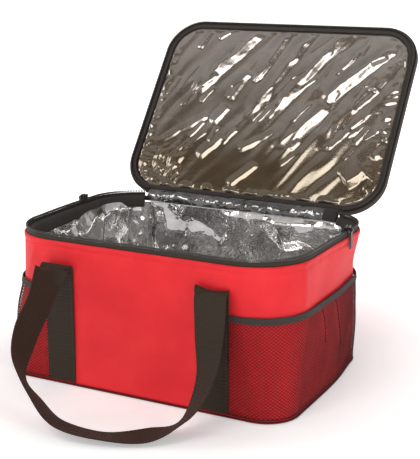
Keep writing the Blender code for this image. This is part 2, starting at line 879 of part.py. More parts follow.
def main():
    clear_scene()
    for name in (COLLECTION, "cutters"):
        bpy.context.scene.collection.children.link(bpy.data.collections.new(name))
    cloth = make_material("red_cloth", RED, 0.55)
    black = make_material("black_binding", BLACK, 0.75)
    webbing = make_material("black_webbing", BLACK, 0.8)
    net = make_material("black_net", NET_BLACK, 0.7)
    foil = make_material("silver_foil", SILVER, 0.25, 0.9)
    foam = make_material("foam", FOAM_GREY, 0.9)
    board = make_material("stiffener_board", BOARD_GREY, 0.6)
    teeth = make_material("zip_teeth", BLACK, 0.4)
    metal = make_material("slider_metal", BLACK, 0.35, 0.6)
    build_body(cloth, foam, foil, board)
    build_mouth(black, teeth, metal)
    build_lid(cloth, black, foam, foil, teeth)
    build_hinge(black, foil)
    build_sliders(metal)
    build_columns(webbing)
    build_handles(webbing)
    build_pockets(net, black)


main()
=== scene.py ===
"""Looks of the soft cooler bag: cloth, foil, webbing, net, zip, light and camera.

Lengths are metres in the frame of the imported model. Heights, the rim's outline and
the rear handle's route repeat the numbers of the model's source. The base's outline,
the pockets and the front handle's route are a few millimetres nearer to the photograph.
"""

import math

import bpy
import numpy as np
from mathutils import Matrix, Vector


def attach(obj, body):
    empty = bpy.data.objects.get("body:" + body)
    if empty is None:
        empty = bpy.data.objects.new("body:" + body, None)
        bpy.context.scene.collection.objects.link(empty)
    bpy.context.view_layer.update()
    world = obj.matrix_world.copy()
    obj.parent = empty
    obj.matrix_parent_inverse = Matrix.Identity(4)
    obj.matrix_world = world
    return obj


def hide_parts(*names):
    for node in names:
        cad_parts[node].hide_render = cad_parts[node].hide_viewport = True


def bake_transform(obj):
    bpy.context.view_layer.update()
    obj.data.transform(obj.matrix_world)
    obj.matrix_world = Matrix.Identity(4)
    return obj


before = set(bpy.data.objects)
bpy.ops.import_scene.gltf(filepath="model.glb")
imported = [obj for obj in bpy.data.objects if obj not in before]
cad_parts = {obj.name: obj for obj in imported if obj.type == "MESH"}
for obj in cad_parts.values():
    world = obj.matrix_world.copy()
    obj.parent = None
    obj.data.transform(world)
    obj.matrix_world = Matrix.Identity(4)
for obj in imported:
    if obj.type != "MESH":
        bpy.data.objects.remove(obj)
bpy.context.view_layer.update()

# Body and layers
RIM_LENGTH, RIM_DEPTH, RIM_RADIUS = 0.360, 0.264, 0.066
BASE_LENGTH, BASE_DEPTH, BASE_RADIUS = 0.356, 0.260, 0.037
WALL_HEIGHT = 0.168
CLEARANCE = 0.0003
SHELL = 0.0012
WALL_FOOT = 0.0018
LINER_OUTER = 0.0068
FOAM_OUTER, FOAM_INNER = 0.0015, 0.0065
FACING_OUTER, FACING_INNER, FACING_TOP, FACING_GAP = 0.0079, 0.0089, 0.1724, 0.266
TAPE_OUTER, TAPE_INNER, TAPE_BOTTOM, TAPE_TOP = 0.0015, 0.0025, 0.163, 0.173
TEETH_MIDDLE, TEETH_BOTTOM = 0.0020, 0.1733
FLOOR_Z = 0.0109
# Ends of the layers below the floor: the stiffener board, then the foam
BOARD_BOTTOM, BOARD_TOP = 0.0018, 0.0043
FOAM_BOTTOM, FOAM_TOP = 0.0046, 0.0106
BASE_LAYER_INSET = 0.0045
FLOOR_INSET = 0.0079

# Hinge and lid
HINGE = Vector((0.0, 0.132, 0.177))
HINGE_LENGTH = 0.272
LID_OPEN = math.radians(126)
HINGE_CLOTH = 0.2648
HINGE_FOIL_END = 0.1150
LID_RADIUS = 0.048
COVER_BOTTOM, COVER_TOP = 0.0083, 0.0162
LID_FOAM_INSET, LID_FOAM_TOP = 0.0028, 0.0143
LINING_INSET, LINING_HEIGHT = 0.0030, 0.0076
LID = Matrix.Translation(HINGE) @ Matrix.Rotation(-LID_OPEN, 4, "X")

# Webbing
WEBBING, WEBBING_THICK = 0.037, 0.0016
STRAP_SPACING, STRAP_START, STRAP_TOP = 0.190, 0.0042, 0.139
PIVOT_HEIGHT, HOOK_RADIUS = 0.136, 0.0045

# Pockets
POCKET_TOP, POCKET_TOP_RISE, POCKET_BULGE = 0.1075, -0.001, 0.0022
NET_SEAT, NET = 0.0009, 0.0010

HANDLE_ROUTE = [
    ((-0.0911, -0.1629, 0.1339), (0.45, 0.57, -0.69)),
    ((-0.0890, -0.1818, 0.1110), (0.23, 0.63, -0.74)),
    ((-0.0889, -0.2085, 0.0828), (0.21, 0.62, -0.75)),
    ((-0.0795, -0.2323, 0.0543), (-0.04, 0.61, -0.79)),
    ((-0.0522, -0.2434, 0.0323), (-0.18, 0.85, -0.50)),
    ((-0.0178, -0.2514, 0.0132), (-0.31, 0.92, -0.25)),
    ((0.0281, -0.2412, 0.0051), (-0.43, 0.88, -0.21)),
    ((0.0692, -0.2189, 0.0062), (-0.58, 0.81, -0.05)),
    ((0.0972, -0.1950, 0.0196), (-0.68, 0.50, -0.53)),
    ((0.1080, -0.1713, 0.0576), (-0.81, 0.42, -0.41)),
    ((0.1036, -0.1542, 0.1012), (-0.98, 0.12, -0.18)),
]
# The rear handle isn't in the photo. It clears the open lid when it is lifted.
REAR_ROUTE = [
    ((-0.094, -0.155, 0.130), (0.87, 0.36, -0.35)),
    ((-0.095, -0.169, 0.113), (0.51, 0.65, -0.57)),
    ((-0.096, -0.198, 0.078), (0.20, 0.75, -0.63)),
    ((-0.083, -0.225, 0.046), (-0.10, 0.76, -0.64)),
    ((-0.048, -0.239, 0.021), (-0.06, 0.86, -0.51)),
    ((-0.007, -0.244, 0.008), (-0.09, 0.96, -0.25)),
    ((0.037, -0.235, 0.004), (-0.37, 0.92, -0.08)),
    ((0.075, -0.213, 0.006), (-0.57, 0.81, -0.12)),
    ((0.100, -0.183, 0.028), (-0.68, 0.65, -0.33)),
    ((0.102, -0.160, 0.064), (-0.87, 0.43, -0.24)),
    ((0.097, -0.146, 0.106), (-1.00, 0.05, -0.08)),
]


# ------------------------------------------------------------------ camera

def make_camera():
    """The photograph's viewpoint: where it stands, its axes and its focal length."""
    right = Vector((0.88900743, 0.45785574, 0.00582285))
    up = Vector((-0.11282138, 0.20670254, 0.97187725))
    back = Vector((0.44377598, -0.86466305, 0.23541601))
    data = bpy.data.cameras.new("camera")
    camera = bpy.data.objects.new("camera", data)
    bpy.context.scene.collection.objects.link(camera)
    camera.matrix_world = Matrix(
        (
            (right.x, up.x, back.x, 0.597346),
            (right.y, up.y, back.y, -1.112863),
            (right.z, up.z, back.z, 0.472507),
            (0, 0, 0, 1),
        )
    )
    tall = 459
    data.sensor_width = 36.0
    data.lens = 1106.764 * data.sensor_width / tall
    data.shift_x = (210.0 - 211.307) / tall
    data.shift_y = (228.072 - 229.5) / tall
    data.clip_start, data.clip_end = 0.05, 50.0
    data.dof.use_dof = False
    bpy.context.scene.camera = camera


# --------------------------------------------------------------- mesh tools

def add_mesh(name, vertices, faces, material, uv=None, smooth=True):
    """A mesh object. uv gives each vertex its place on the flat cloth, in metres."""
    mesh = bpy.data.meshes.new(name)
    vertices = np.asarray(vertices, float).reshape(-1, 3)
    mesh.from_pydata(vertices.tolist(), [], faces if isinstance(faces, list) else faces.tolist())
    if uv is not None:
        layer = mesh.uv_layers.new(name="cloth")
        loops = np.zeros(len(mesh.loops), np.int32)
        mesh.loops.foreach_get("vertex_index", loops)
        layer.data.foreach_set("uv", np.asarray(uv, float).reshape(-1, 2)[loops].ravel())
    mesh.materials.append(material)
    if smooth:
        mesh.shade_smooth()
    made = bpy.data.objects.new(name, mesh)
    bpy.context.scene.collection.objects.link(made)
    return made


def grid_faces(rows, columns, close_rows=False, close_columns=False):
    """Quads of a grid of points, which may close on itself either way."""
    r = np.arange(rows if close_rows else rows - 1)[:, None]
    c = np.arange(columns if close_columns else columns - 1)[None, :]
    next_r, next_c = (r + 1) % rows, (c + 1) % columns
    quads = np.stack(
        [r * columns + c, r * columns + next_c, next_r * columns + next_c, next_r * columns + c], -1
    )
    return quads.reshape(-1, 4)


def grid_object(name, points, material, uv=None, close_rows=False, close_columns=False):
    rows, columns = points.shape[:2]
    faces = grid_faces(rows, columns, close_rows, close_columns)
    return add_mesh(name, points, faces, material, uv)


def capped_faces(rows, columns):
    """Faces of a closed section swept along the columns, with a cap at each end."""
    first = [row * columns for row in range(rows)]
    last = [row * columns + columns - 1 for row in reversed(range(rows))]
    return grid_faces(rows, columns, close_rows=True).tolist() + [first, last]


def cloth_places(s, run):
    """Where each grid point lies on the flat cloth: s for the columns, run for the rows."""
    return np.stack(np.broadcast_arrays(s[None, :], run[:, None]), -1)


def copies(points, axes, shape):
    """A small shape's points, repeated at each point and turned to the axes there."""
    made = points[:, None]
    for k, axis in enumerate(axes):
        made = made + axis[:, None] * shape[None, :, k : k + 1]
    return made


def unit(vectors):
    return vectors / np.linalg.norm(vectors, axis=1, keepdims=True)


def ring_turns(count):
    """Angles of a closed section's corners."""
    return np.linspace(0, 2 * math.pi, count, endpoint=False)


def squared(wave, power):
    """A sine or cosine with its shape made squarer."""
    return np.sign(wave) * np.abs(wave) ** power


def thicken(piece, thickness, offset=-1.0):
    skin = piece.modifiers.new("skin", "SOLIDIFY")
    skin.thickness = thickness
    skin.offset = offset


def finish_piece(piece, body, slot, *nodes):
    """Every piece rides on a body and hides the solids it stands for. slot, the name of its finish, is not
    used.
    """
    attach(piece, body)
    if nodes:
        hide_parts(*nodes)
    return piece


# -------------------------------------------------------------------- noise

def value_noise(x, y, seed):
    """Smooth noise from -1 to 1, with cells of unit size."""
    table = np.random.default_rng(seed).uniform(-1, 1, (128, 128))
    xi, yi = np.floor(x).astype(int), np.floor(y).astype(int)
    fx, fy = x - xi, y - yi
    fx, fy = fx * fx * (3 - 2 * fx), fy * fy * (3 - 2 * fy)

    def at(a, b):
        return table[a % 128, b % 128]

    low = at(xi, yi) * (1 - fx) + at(xi + 1, yi) * fx
    high = at(xi, yi + 1) * (1 - fx) + at(xi + 1, yi + 1) * fx
    return low * (1 - fy) + high * fy


def layered_noise(x, y, size, seed, layers=3):
    total = 0.0
    for layer in range(layers):
        scale = 2.0**layer / size
        total = total + value_noise(x * scale, y * scale, seed + layer) / 2.0**layer
    return total


def line_noise(x, size, seed):
    """Noise along one line."""
    return value_noise(x / size, x * 0, seed)


def crumple(x, y, seed, smallest, largest, count, steep):
    """Facets with sharp creases between them, as in crushed foil."""
    draw = np.random.default_rng(seed)
    warp_x = 0.006 * layered_noise(x, y, 0.03, seed + 50, 2)
    warp_y = 0.006 * layered_noise(x, y, 0.03, seed + 60, 2)
    total = 0.0
    for k in range(count):
        width = smallest * (largest / smallest) ** (k / (count - 1))
        turn = draw.uniform(0, math.pi)
        run = (x + warp_x) * math.cos(turn) + (y + warp_y) * math.sin(turn)
        wave = np.abs((run / width + draw.uniform(0, 2)) % 2.0 - 1.0) - 0.5
        mask = np.clip(0.5 + value_noise(x / (2.2 * width), y / (2.2 * width), seed + 7 * k), 0, 1)
        total = total + steep * width * wave * mask
    return total


def ridges(s, z, marks):
    """Soft folds: where the middle is, half length, half width, direction, height."""
    total = np.zeros(np.broadcast(s, z).shape)
    for s0, z0, length, width, degrees, height in marks:
        turn = math.radians(degrees)
        ds, dz = s - s0, z - z0
        along = ds * math.cos(turn) + dz * math.sin(turn)
        across = dz * math.cos(turn) - ds * math.sin(turn)
        total += height * np.exp(-((along / length) ** 2) - (across / width) ** 2)
    return total


def smooth_step(t):
    t = np.clip(t, 0.0, 1.0)
    return t * t * (3 - 2 * t)


# ----------------------------------------------------------------- outlines

def loop_pattern(spacing, radius=RIM_RADIUS):
    """Points round the rim or the lid, anticlockwise from the middle of the back.

    Each is a share of the straight sides' half lengths and a normal's direction."""
    half = round((RIM_LENGTH / 2 - radius) / spacing)
    side = round((RIM_DEPTH - 2 * radius) / spacing)
    corner = round(math.pi / 2 * radius / spacing)
    parts = []

    def straight(ax0, ax1, ay0, ay1, degrees, count):
        t = np.arange(count) / count
        parts.append(np.stack([ax0 + (ax1 - ax0) * t, ay0 + (ay1 - ay0) * t, np.full(count, degrees)], -1))

    def turn(ax, ay, start):
        t = np.arange(corner) / corner
        parts.append(np.stack([np.full(corner, ax), np.full(corner, ay), start + 90 * t], -1))

    straight(0, -1, 1, 1, 90, half)
    turn(-1, 1, 90)
    straight(-1, -1, 1, -1, 180, side)
    turn(-1, -1, 180)
    straight(-1, 1, -1, -1, 270, 2 * half)
    turn(1, -1, 270)
    straight(1, 1, -1, 1, 360, side)
    turn(1, 1, 360)
    straight(1, 0, 1, 1, 450, half)
    return np.concatenate(parts)


def loop_points(pattern, length, depth, radius, inset=0.0):
    """The loop's points and outward normals. Sizes may be one number for each row."""
    ax, ay = pattern[:, 0], pattern[:, 1]
    turn = np.radians(pattern[:, 2])
    normal = np.stack([np.cos(turn), np.sin(turn)], -1)
    length, depth, radius = (np.atleast_1d(v)[:, None] for v in (length, depth, radius))
    inset = np.asarray(inset, float)
    if inset.ndim == 1:
        inset = inset[:, None]
    x = ax * (length / 2 - radius) + (radius - inset) * normal[:, 0]
    y = ay * (depth / 2 - radius) + (radius - inset) * normal[:, 1]
    return np.stack(np.broadcast_arrays(x, y), -1), normal


def body_size(z):
    share = np.clip(np.asarray(z, float) / WALL_HEIGHT, 0, 1)
    return (
        BASE_LENGTH + (RIM_LENGTH - BASE_LENGTH) * share**2,
        BASE_DEPTH + (RIM_DEPTH - BASE_DEPTH) * share**2,
        BASE_RADIUS + (RIM_RADIUS - BASE_RADIUS) * smooth_step(share),
    )


def slump(x, y, z):
    """How far the soft walls sink inwards: all their layers move together.

    The rear right corner sinks between base and rim, the front left one at its rim."""
    rear = np.exp(-(((x - 0.168) / 0.052) ** 2) - ((y - 0.105) / 0.060) ** 2)
    front = np.exp(-(((x + 0.173) / 0.060) ** 2) - ((y + 0.085) / 0.060) ** 2)
    waist = smooth_step((0.168 - z) / 0.045) * (1.4 - 0.4 * smooth_step(z / 0.06))
    return 0.0068 * rear * waist + 0.0050 * front * smooth_step((z - 0.065) / 0.050)


def sink(x, y, z, inside):
    """Points of a flat layer, moved as the walls beside them are. inside is how far
    they are from its edge."""
    fade = smooth_step(1 - inside / 0.060)
    depth = slump(x, y, z)
    return x - depth * (0.84 * fade), y - depth * (0.54 * fade)


def sunk_rows(flat, normal, heights):
    """Rows of outline points set at their heights and moved as the soft walls are."""
    z = np.broadcast_to(heights[:, None], flat.shape[:2])
    flat = flat - slump(flat[..., 0], flat[..., 1], z)[..., None] * normal
    return np.concatenate([flat, z[..., None]], -1)


def body_rows(pattern, heights, insets):
    """Rows of points round the body, one for each height, pushed in by insets."""
    heights = np.asarray(heights, float)
    flat, normal = loop_points(pattern, *body_size(heights), insets)
    return sunk_rows(flat, normal, heights), normal


def run_along(points):
    """Distance from the first point to each, along a row."""
    steps = np.linalg.norm(np.diff(points, axis=0), axis=1)
    return np.concatenate([[0.0], np.cumsum(steps)])


def lid_rows(pattern, heights, insets):
    """Rows round the lid in its own frame, whose rear edge is the hinge line."""
    heights = np.asarray(heights, float)
    sizes = (np.full(len(heights), size) for size in (RIM_LENGTH, RIM_DEPTH, LID_RADIUS))
    flat, _ = loop_points(pattern, *sizes, insets)
    z = np.broadcast_to(heights[:, None], flat.shape[:2])
    points = np.concatenate([flat, z[..., None]], -1)
    points[..., 1] -= RIM_DEPTH / 2
    return points


def to_lid(points):
    """From the lid's own frame to where the open lid is."""
    matrix = np.array(LID)
    return points @ matrix[:3, :3].T + matrix[:3, 3]


def panel_grid(length, depth, radius, spacing):
    """A grid that fills a rounded rectangle. Its rows crowd towards the corners."""
    arc = max(6, round(math.pi / 2 * radius / spacing))
    straight = max(4, round((depth - 2 * radius) / spacing))
    turn = np.radians(np.linspace(0, 90, arc, endpoint=False))
    y_top = depth / 2 - radius + radius * np.sin(turn)
    x_top = length / 2 - radius + radius * np.cos(turn)
    top = np.append(y_top, depth / 2), np.append(x_top, length / 2 - radius)
    middle = np.linspace(-(depth / 2 - radius), depth / 2 - radius, straight + 1)[1:-1]
    y = np.concatenate([-top[0][::-1], middle, top[0]])
    half = np.concatenate([top[1][::-1], np.full(len(middle), length / 2), top[1]])
    columns = round(length / spacing)
    u = np.linspace(-1, 1, columns + 1)
    return u[None, :] * half[:, None], np.broadcast_to(y[:, None], (len(y), columns + 1)).copy()


def edge_distance(x, y, length, depth, radius):
    """How far inside a rounded rectangle each point is, and the way out."""
    qx = np.abs(x) - (length / 2 - radius)
    qy = np.abs(y) - (depth / 2 - radius)
    out_x, out_y = np.maximum(qx, 0), np.maximum(qy, 0)
    reach = np.hypot(out_x, out_y)
    inside = radius - np.where((qx > 0) | (qy > 0), reach, np.maximum(qx, qy))
    sure = np.maximum(reach, 1e-9)
    nx = np.where(reach > 1e-6, out_x / sure, (qx > qy) * 1.0)
    ny = np.where(reach > 1e-6, out_y / sure, (qx <= qy) * 1.0)
    return inside, nx * np.sign(x), ny * np.sign(y)


def inner_size(length, depth, radius, inset):
    """A rounded rectangle's sizes, drawn in by an inset."""
    return length - 2 * inset, depth - 2 * inset, radius - inset


# ---------------------------------------------------------------- materials

RIB_PITCH, RIB_DEPTH = 0.0042, 0.0005
# How the folds of the lid's lining slant.
FOLD_TURN = math.radians(57)


def link_or_set(tree, socket, value):
    if isinstance(value, bpy.types.NodeSocket):
        tree.links.new(value, socket)
    else:
        socket.default_value = value


class Recipe:
    """A material with one principled shader, and short ways to add nodes to it."""

    def __init__(self, name, **constants):
        self.material = bpy.data.materials.new(name)
        self.material.use_nodes = True
        self.tree = self.material.node_tree
        self.shader = self.tree.nodes["Principled BSDF"]
        for key, value in constants.items():
            self.shader.inputs[key.replace("_", " ")].default_value = value

    def add(self, kind, settings=None, **inputs):
        made = self.tree.nodes.new(kind)
        for key, value in (settings or {}).items():
            setattr(made, key, value)
        for key, value in inputs.items():
            link_or_set(self.tree, made.inputs[key.replace("_", " ")], value)
        return made

    def set(self, **inputs):
        for key, value in inputs.items():
            link_or_set(self.tree, self.shader.inputs[key.replace("_", " ")], value)

    def maths(self, operation, a, b=0.0, c=0.0):
        made = self.add("ShaderNodeMath", {"operation": operation})
        for socket, value in zip(made.inputs, (a, b, c)):
            link_or_set(self.tree, socket, value)
        return made.outputs[0]

    def cloth(self):
        """Place on the flat cloth, in metres: across, along."""
        place = self.add("ShaderNodeUVMap", {"uv_map": "cloth"})
        parts = self.add("ShaderNodeSeparateXYZ", Vector=place.outputs[0])
        return place.outputs[0], parts.outputs[0], parts.outputs[1]

    def place(self):
        return self.add("ShaderNodeTexCoord").outputs["Object"]

    def noise(self, vector, scale, detail=3.0, roughness=0.5, distortion=0.0):
        settings = {"Scale": scale, "Detail": detail, "Roughness": roughness, "Distortion": distortion}
        return self.add("ShaderNodeTexNoise", Vector=vector, **settings).outputs["Fac"]

    def cells(self, vector, scale, limit):
        """Distance to the nearest crease of a cell pattern, up to a limit."""
        made = self.add("ShaderNodeTexVoronoi", {"feature": "DISTANCE_TO_EDGE"}, Vector=vector, Scale=scale)
        return self.maths("MINIMUM", made.outputs["Distance"], limit)

    def wave(self, value, pitch):
        return self.maths("SINE", self.maths("MULTIPLY", value, 2 * math.pi / pitch))

    def ramp(self, value, *stops):
        made = self.add("ShaderNodeValToRGB", Fac=value)
        ramp = made.color_ramp
        while len(ramp.elements) < len(stops):
            ramp.elements.new(0.5)
        for element, (position, colour) in zip(ramp.elements, stops):
            element.position = position
            element.color = (*colour, 1.0) if hasattr(colour, "__len__") else (colour,) * 3 + (1.0,)
        return made.outputs["Color"]

    def mix(self, share, a, b):
        made = self.add("ShaderNodeMix", {"data_type": "RGBA"})
        for index, value in ((0, share), (6, a), (7, b)):
            if isinstance(value, tuple):
                value = (*value, 1.0)
            link_or_set(self.tree, made.inputs[index], value)
        return made.outputs[2]

    def bump(self, height, strength, distance, normal=None):
        made = self.add("ShaderNodeBump", Strength=strength, Distance=distance, Height=height)
        if normal is not None:
            self.tree.links.new(normal, made.inputs["Normal"])
        self.tree.links.new(made.outputs[0], self.shader.inputs["Normal"])
        return made.outputs[0]

    def weave(self, u, v, pitch):
        """A plain weave: threads cross over and under each other."""
        return self.maths("MULTIPLY", self.wave(u, 2 * pitch), self.wave(v, 2 * pitch))


def red_nylon():
    m = Recipe("red_nylon", Sheen_Weight=0.04, Sheen_Roughness=0.4, Specular_IOR_Level=0.18)
    vector, u, v = m.cloth()
    blotch = m.noise(vector, 22.0, 4.0, 0.55)
    colour = m.ramp(
        blotch, (0.25, (0.66, 0.018, 0.024)), (0.52, (0.74, 0.023, 0.030)), (0.8, (0.80, 0.034, 0.036))
    )
    weave = m.weave(u, v, 0.00045)
    thread = m.noise(vector, 900.0, 2.0)
    shade = m.maths("MULTIPLY_ADD", weave, 0.06, 0.06)
    m.set(
        Base_Color=m.mix(shade, colour, (0.42, 0.012, 0.02)),
        Roughness=m.maths("MULTIPLY_ADD", thread, 0.16, 0.46),
    )
    first = m.bump(weave, 0.25, 0.0002)
    m.bump(m.noise(vector, 60.0, 5.0, 0.6), 0.22, 0.0012, first)
    return m.material


def black_cloth(name, colour, pitch):
    m = Recipe(name, Sheen_Weight=0.05, Sheen_Roughness=0.5, Specular_IOR_Level=0.2)
    vector, u, _ = m.cloth()
    rib = m.wave(u, pitch)
    fuzz = m.noise(vector, 500.0, 3.0)
    bright = tuple(c * 1.7 for c in colour)
    m.set(
        Base_Color=m.mix(m.maths("MULTIPLY", fuzz, 0.8), colour, bright),
        Roughness=m.maths("MULTIPLY_ADD", fuzz, 0.2, 0.66),
    )
    m.bump(rib, 0.5, 0.0003, m.bump(fuzz, 0.3, 0.0003))
    return m.material


def webbing_cloth():
    """Ribs are in the mesh. The twill between them and the woven edge are here."""
    m = Recipe("webbing_cloth", Sheen_Weight=0.05, Sheen_Roughness=0.45, Specular_IOR_Level=0.18)
    vector, u, v = m.cloth()
    twill = m.wave(m.maths("ADD", u, v), RIB_PITCH / 2)
    fuzz = m.noise(vector, 420.0, 3.0)
    tone = m.maths("MULTIPLY_ADD", twill, 0.18, m.maths("MULTIPLY", fuzz, 0.9))
    m.set(
        Base_Color=m.mix(tone, (0.016, 0.0098, 0.0055), (0.050, 0.034, 0.022)),
        Roughness=m.maths("MULTIPLY_ADD", fuzz, 0.2, 0.6),
    )
    m.bump(twill, 0.35, 0.0003, m.bump(fuzz, 0.3, 0.0003))
    return m.material


def net_thread():
    m = Recipe("net_thread", Specular_IOR_Level=0.15)
    fuzz = m.noise(m.place(), 300.0, 2.0)
    m.set(
        Base_Color=m.mix(fuzz, (0.034, 0.008, 0.008), (0.088, 0.020, 0.020)),
        Roughness=m.maths("MULTIPLY_ADD", fuzz, 0.2, 0.55),
    )
    return m.material


def silver_foil(name="silver_foil", dark=0.66, light=0.94, fine=0.55):
    """Crinkled metallised film. fine scales the small creases."""
    m = Recipe(name, Metallic=1.0)
    vector, _, _ = m.cloth()
    haze = m.noise(vector, 40.0, 4.0, 0.6)
    low, high = (tuple(grey * tint for tint in (1.0, 0.99, 0.98)) for grey in (dark, light))
    m.set(
        Base_Color=m.ramp(haze, (0.3, low), (0.7, high)),
        Roughness=m.maths("MULTIPLY_ADD", haze, 0.09, 0.045),
    )
    first = m.bump(m.cells(vector, 75.0, 0.25), 0.30 * fine, 0.0030)
    m.bump(m.cells(vector, 210.0, 0.25), 0.14 * fine, 0.0012, first)
    return m.material


def lid_foil():
    """Foil under clear film. Its dark warm greys are painted reflection of dark surroundings, and its brown
    glints along some folds are painted reflections.
    """
    m = Recipe("lid_foil", Metallic=0.85, Coat_Weight=1.0, Coat_Roughness=0.04, Coat_IOR=1.5)
    vector, _, v = m.cloth()
    haze = m.noise(vector, 26.0, 4.0, 0.6, 0.6)
    streak = m.add("ShaderNodeMapping", Vector=vector)
    streak.inputs["Rotation"].default_value = (0, 0, -FOLD_TURN)
    streak.inputs["Scale"].default_value = (9.0, 60.0, 1.0)
    brown = m.noise(streak.outputs[0], 1.0, 5.0, 0.65)
    # Dark warm greys: painted reflection, standing in for the dark surroundings that the silver foil mirrors.
    base = m.ramp(
        haze, (0.25, (0.19, 0.162, 0.130)), (0.55, (0.275, 0.243, 0.212)), (0.8, (0.35, 0.322, 0.302))
    )
    # Brown glints along the folds: painted reflection.
    glint = m.ramp(brown, (0.60, 0.0), (0.72, 1.0))
    # Painted shade makes it browner towards the hinge, and painted light makes it paler towards the tip. v is
    # zero halfway.
    down = m.maths("MULTIPLY_ADD", v, 4.0, 0.5)
    base = m.mix(m.ramp(down, (0.58, 0.0), (0.80, 0.85)), base, (0.150, 0.112, 0.068))
    base = m.mix(m.ramp(down, (0.10, 0.45), (0.42, 0.0)), base, (0.44, 0.405, 0.38))
    m.set(
        Base_Color=m.mix(m.maths("MULTIPLY", glint, 0.5), base, (0.36, 0.18, 0.055)),
        Roughness=m.maths("MULTIPLY_ADD", haze, 0.12, 0.10),
    )
    first = m.bump(m.cells(vector, 130.0, 0.2), 0.08, 0.0010)
    m.bump(m.noise(vector, 90.0, 4.0, 0.6), 0.10, 0.0010, first)
    return m.material


def plain(name, dark, light, rough, scale=80.0, depth=0.0004, **constants):
    """Moulded plastic, metal, foam or board: a mottled colour and a fine grain."""
    m = Recipe(name, **constants)
    grain = m.noise(m.place(), scale, 4.0, 0.6)
    m.set(
        Base_Color=m.mix(grain, dark, light),
        Roughness=m.maths("MULTIPLY_ADD", grain, 0.2, rough),
    )
    m.bump(grain, 0.4, depth)
    return m.material


RED = red_nylon()
BINDING = black_cloth("binding_cloth", (0.034, 0.028, 0.025), 0.0011)
TAPE = black_cloth("zip_tape_cloth", (0.030, 0.024, 0.018), 0.0013)
WEB = webbing_cloth()
NET_THREAD = net_thread()
FOIL = silver_foil()
# The hinge's foil gets far darker greys than the rest of the foil: painted shade.
HINGE_FOIL = silver_foil("hinge_foil_painted_shade", 0.10, 0.34, 1.3)
LID_FOIL = lid_foil()
PIPING = plain("red_piping", (0.050, 0.005, 0.006), (0.120, 0.008, 0.010), 0.6, 900.0, Specular_IOR_Level=0.2)
FOAM = plain("foam", (0.46, 0.47, 0.49), (0.62, 0.63, 0.65), 0.8, 900.0, 0.0008)
BOARD = plain("board", (0.07, 0.07, 0.07), (0.12, 0.12, 0.12), 0.6, 300.0)
TEETH = plain("zip_teeth", (0.030, 0.026, 0.021), (0.060, 0.054, 0.046), 0.32, 700.0, 0.0001)
METAL = plain("slider_metal", (0.035, 0.034, 0.033), (0.07, 0.068, 0.066), 0.28, 500.0, 0.0001, Metallic=0.7)
THREAD = plain("black_thread", (0.03, 0.026, 0.022), (0.08, 0.07, 0.062), 0.6, 1500.0)


# ------------------------------------------------------------------ the wall

SPACING = 0.0022
BODY = loop_pattern(SPACING)
RIM_ROW = loop_points(BODY, RIM_LENGTH, RIM_DEPTH, RIM_RADIUS)[0][0]
BODY_RUN = run_along(np.vstack([RIM_ROW, RIM_ROW[:1]]))
GIRTH, BODY_RUN = BODY_RUN[-1], BODY_RUN[:-1]
FRONT = GIRTH / 2


def front_run(x):
    """Where a point of the straight front is along the wall."""
    return FRONT + x


def wall_folds(s, z):
    """How far the red cloth stands off its flat shape, outwards."""
    below = WALL_HEIGHT - z
    pucker = value_noise(s / 0.011, z / 0.09, 21) * np.exp(-(((below - 0.006) / 0.008) ** 2))
    fine = value_noise(s / 0.006, z / 0.05, 22) * np.exp(-(((below - 0.004) / 0.005) ** 2))
    hem = value_noise(s / 0.013, z / 0.06, 23) * np.exp(-((z / 0.010) ** 2))
    soft = 0.0011 * layered_noise(s, z * 0.8, 0.075, 24, 2)
    groove = -0.0012 * np.exp(-(((below - 0.0060) / 0.0009) ** 2))
    roll = 0.0007 * np.exp(-(((below - 0.0030) / 0.0020) ** 2))
    marks = [
        (front_run(-0.030), 0.088, 0.040, 0.0110, -6, 0.0008),
        (front_run(0.005), 0.128, 0.045, 0.010, 14, 0.0011),
        (front_run(0.040), 0.112, 0.030, 0.007, -24, -0.0009),
        (front_run(0.110), 0.145, 0.026, 0.006, 74, 0.0012),
        (front_run(0.150), 0.140, 0.030, 0.006, 102, 0.0014),
        (front_run(0.170), 0.132, 0.020, 0.008, 80, -0.0012),
        (front_run(0.205), 0.142, 0.026, 0.006, 96, 0.0012),
        (front_run(-0.135), 0.150, 0.022, 0.005, 60, 0.0010),
        (front_run(0.000), 0.030, 0.050, 0.012, 3, -0.0008),
        (front_run(0.045), 0.056, 0.020, 0.006, 70, 0.0008),
    ]
    small = 0.0006 * pucker + 0.0003 * fine + 0.0004 * hem
    return small + soft + groove + roll + ridges(s, z, marks)


def under_webbing(s):
    """1 where the columns press the cloth flat, 0 elsewhere."""
    x = np.abs(np.abs(s - FRONT) - STRAP_SPACING / 2)
    back = np.abs(np.minimum(s, GIRTH - s) - STRAP_SPACING / 2)
    nearest = np.minimum(x, back) - WEBBING / 2
    return 1 - smooth_step((nearest + 0.002) / 0.012)


def make_wall():
    """The red wall, out to its folds and back down its flat inner face."""
    heights = np.linspace(WALL_FOOT, WALL_HEIGHT, 78)
    s, z = BODY_RUN[None, :], heights[:, None]
    held = under_webbing(s) * smooth_step((STRAP_TOP + 0.010 - z) / 0.014)
    edge = smooth_step((z - WALL_FOOT) / 0.004) * smooth_step((WALL_HEIGHT - z) / 0.0012)
    lift = np.clip(wall_folds(s, z) * (1 - 0.9 * held) * edge, -0.0012, 0.0028)
    outer, _ = body_rows(BODY, heights, -lift)
    inner_heights = np.linspace(WALL_HEIGHT, WALL_FOOT, 12)
    inner, _ = body_rows(BODY, inner_heights, np.full(len(inner_heights), SHELL))
    run = np.concatenate([heights, 2 * WALL_HEIGHT + 0.001 - inner_heights])
    points, uv = np.concatenate([outer, inner]), cloth_places(BODY_RUN, run)
    wall = grid_object("wall_cloth", points, RED, uv, close_rows=True, close_columns=True)
    # Black binding over the edge beside both ends of the hinge.
    wall.data.materials.append(BINDING)
    for face in wall.data.polygons:
        x, y, height = face.center
        if height > 0.160 and y > 0.1 and 0.130 < abs(x) < 0.139:
            face.material_index = 1
    finish_piece(wall, "bag", "red_cloth", "wall_shell")


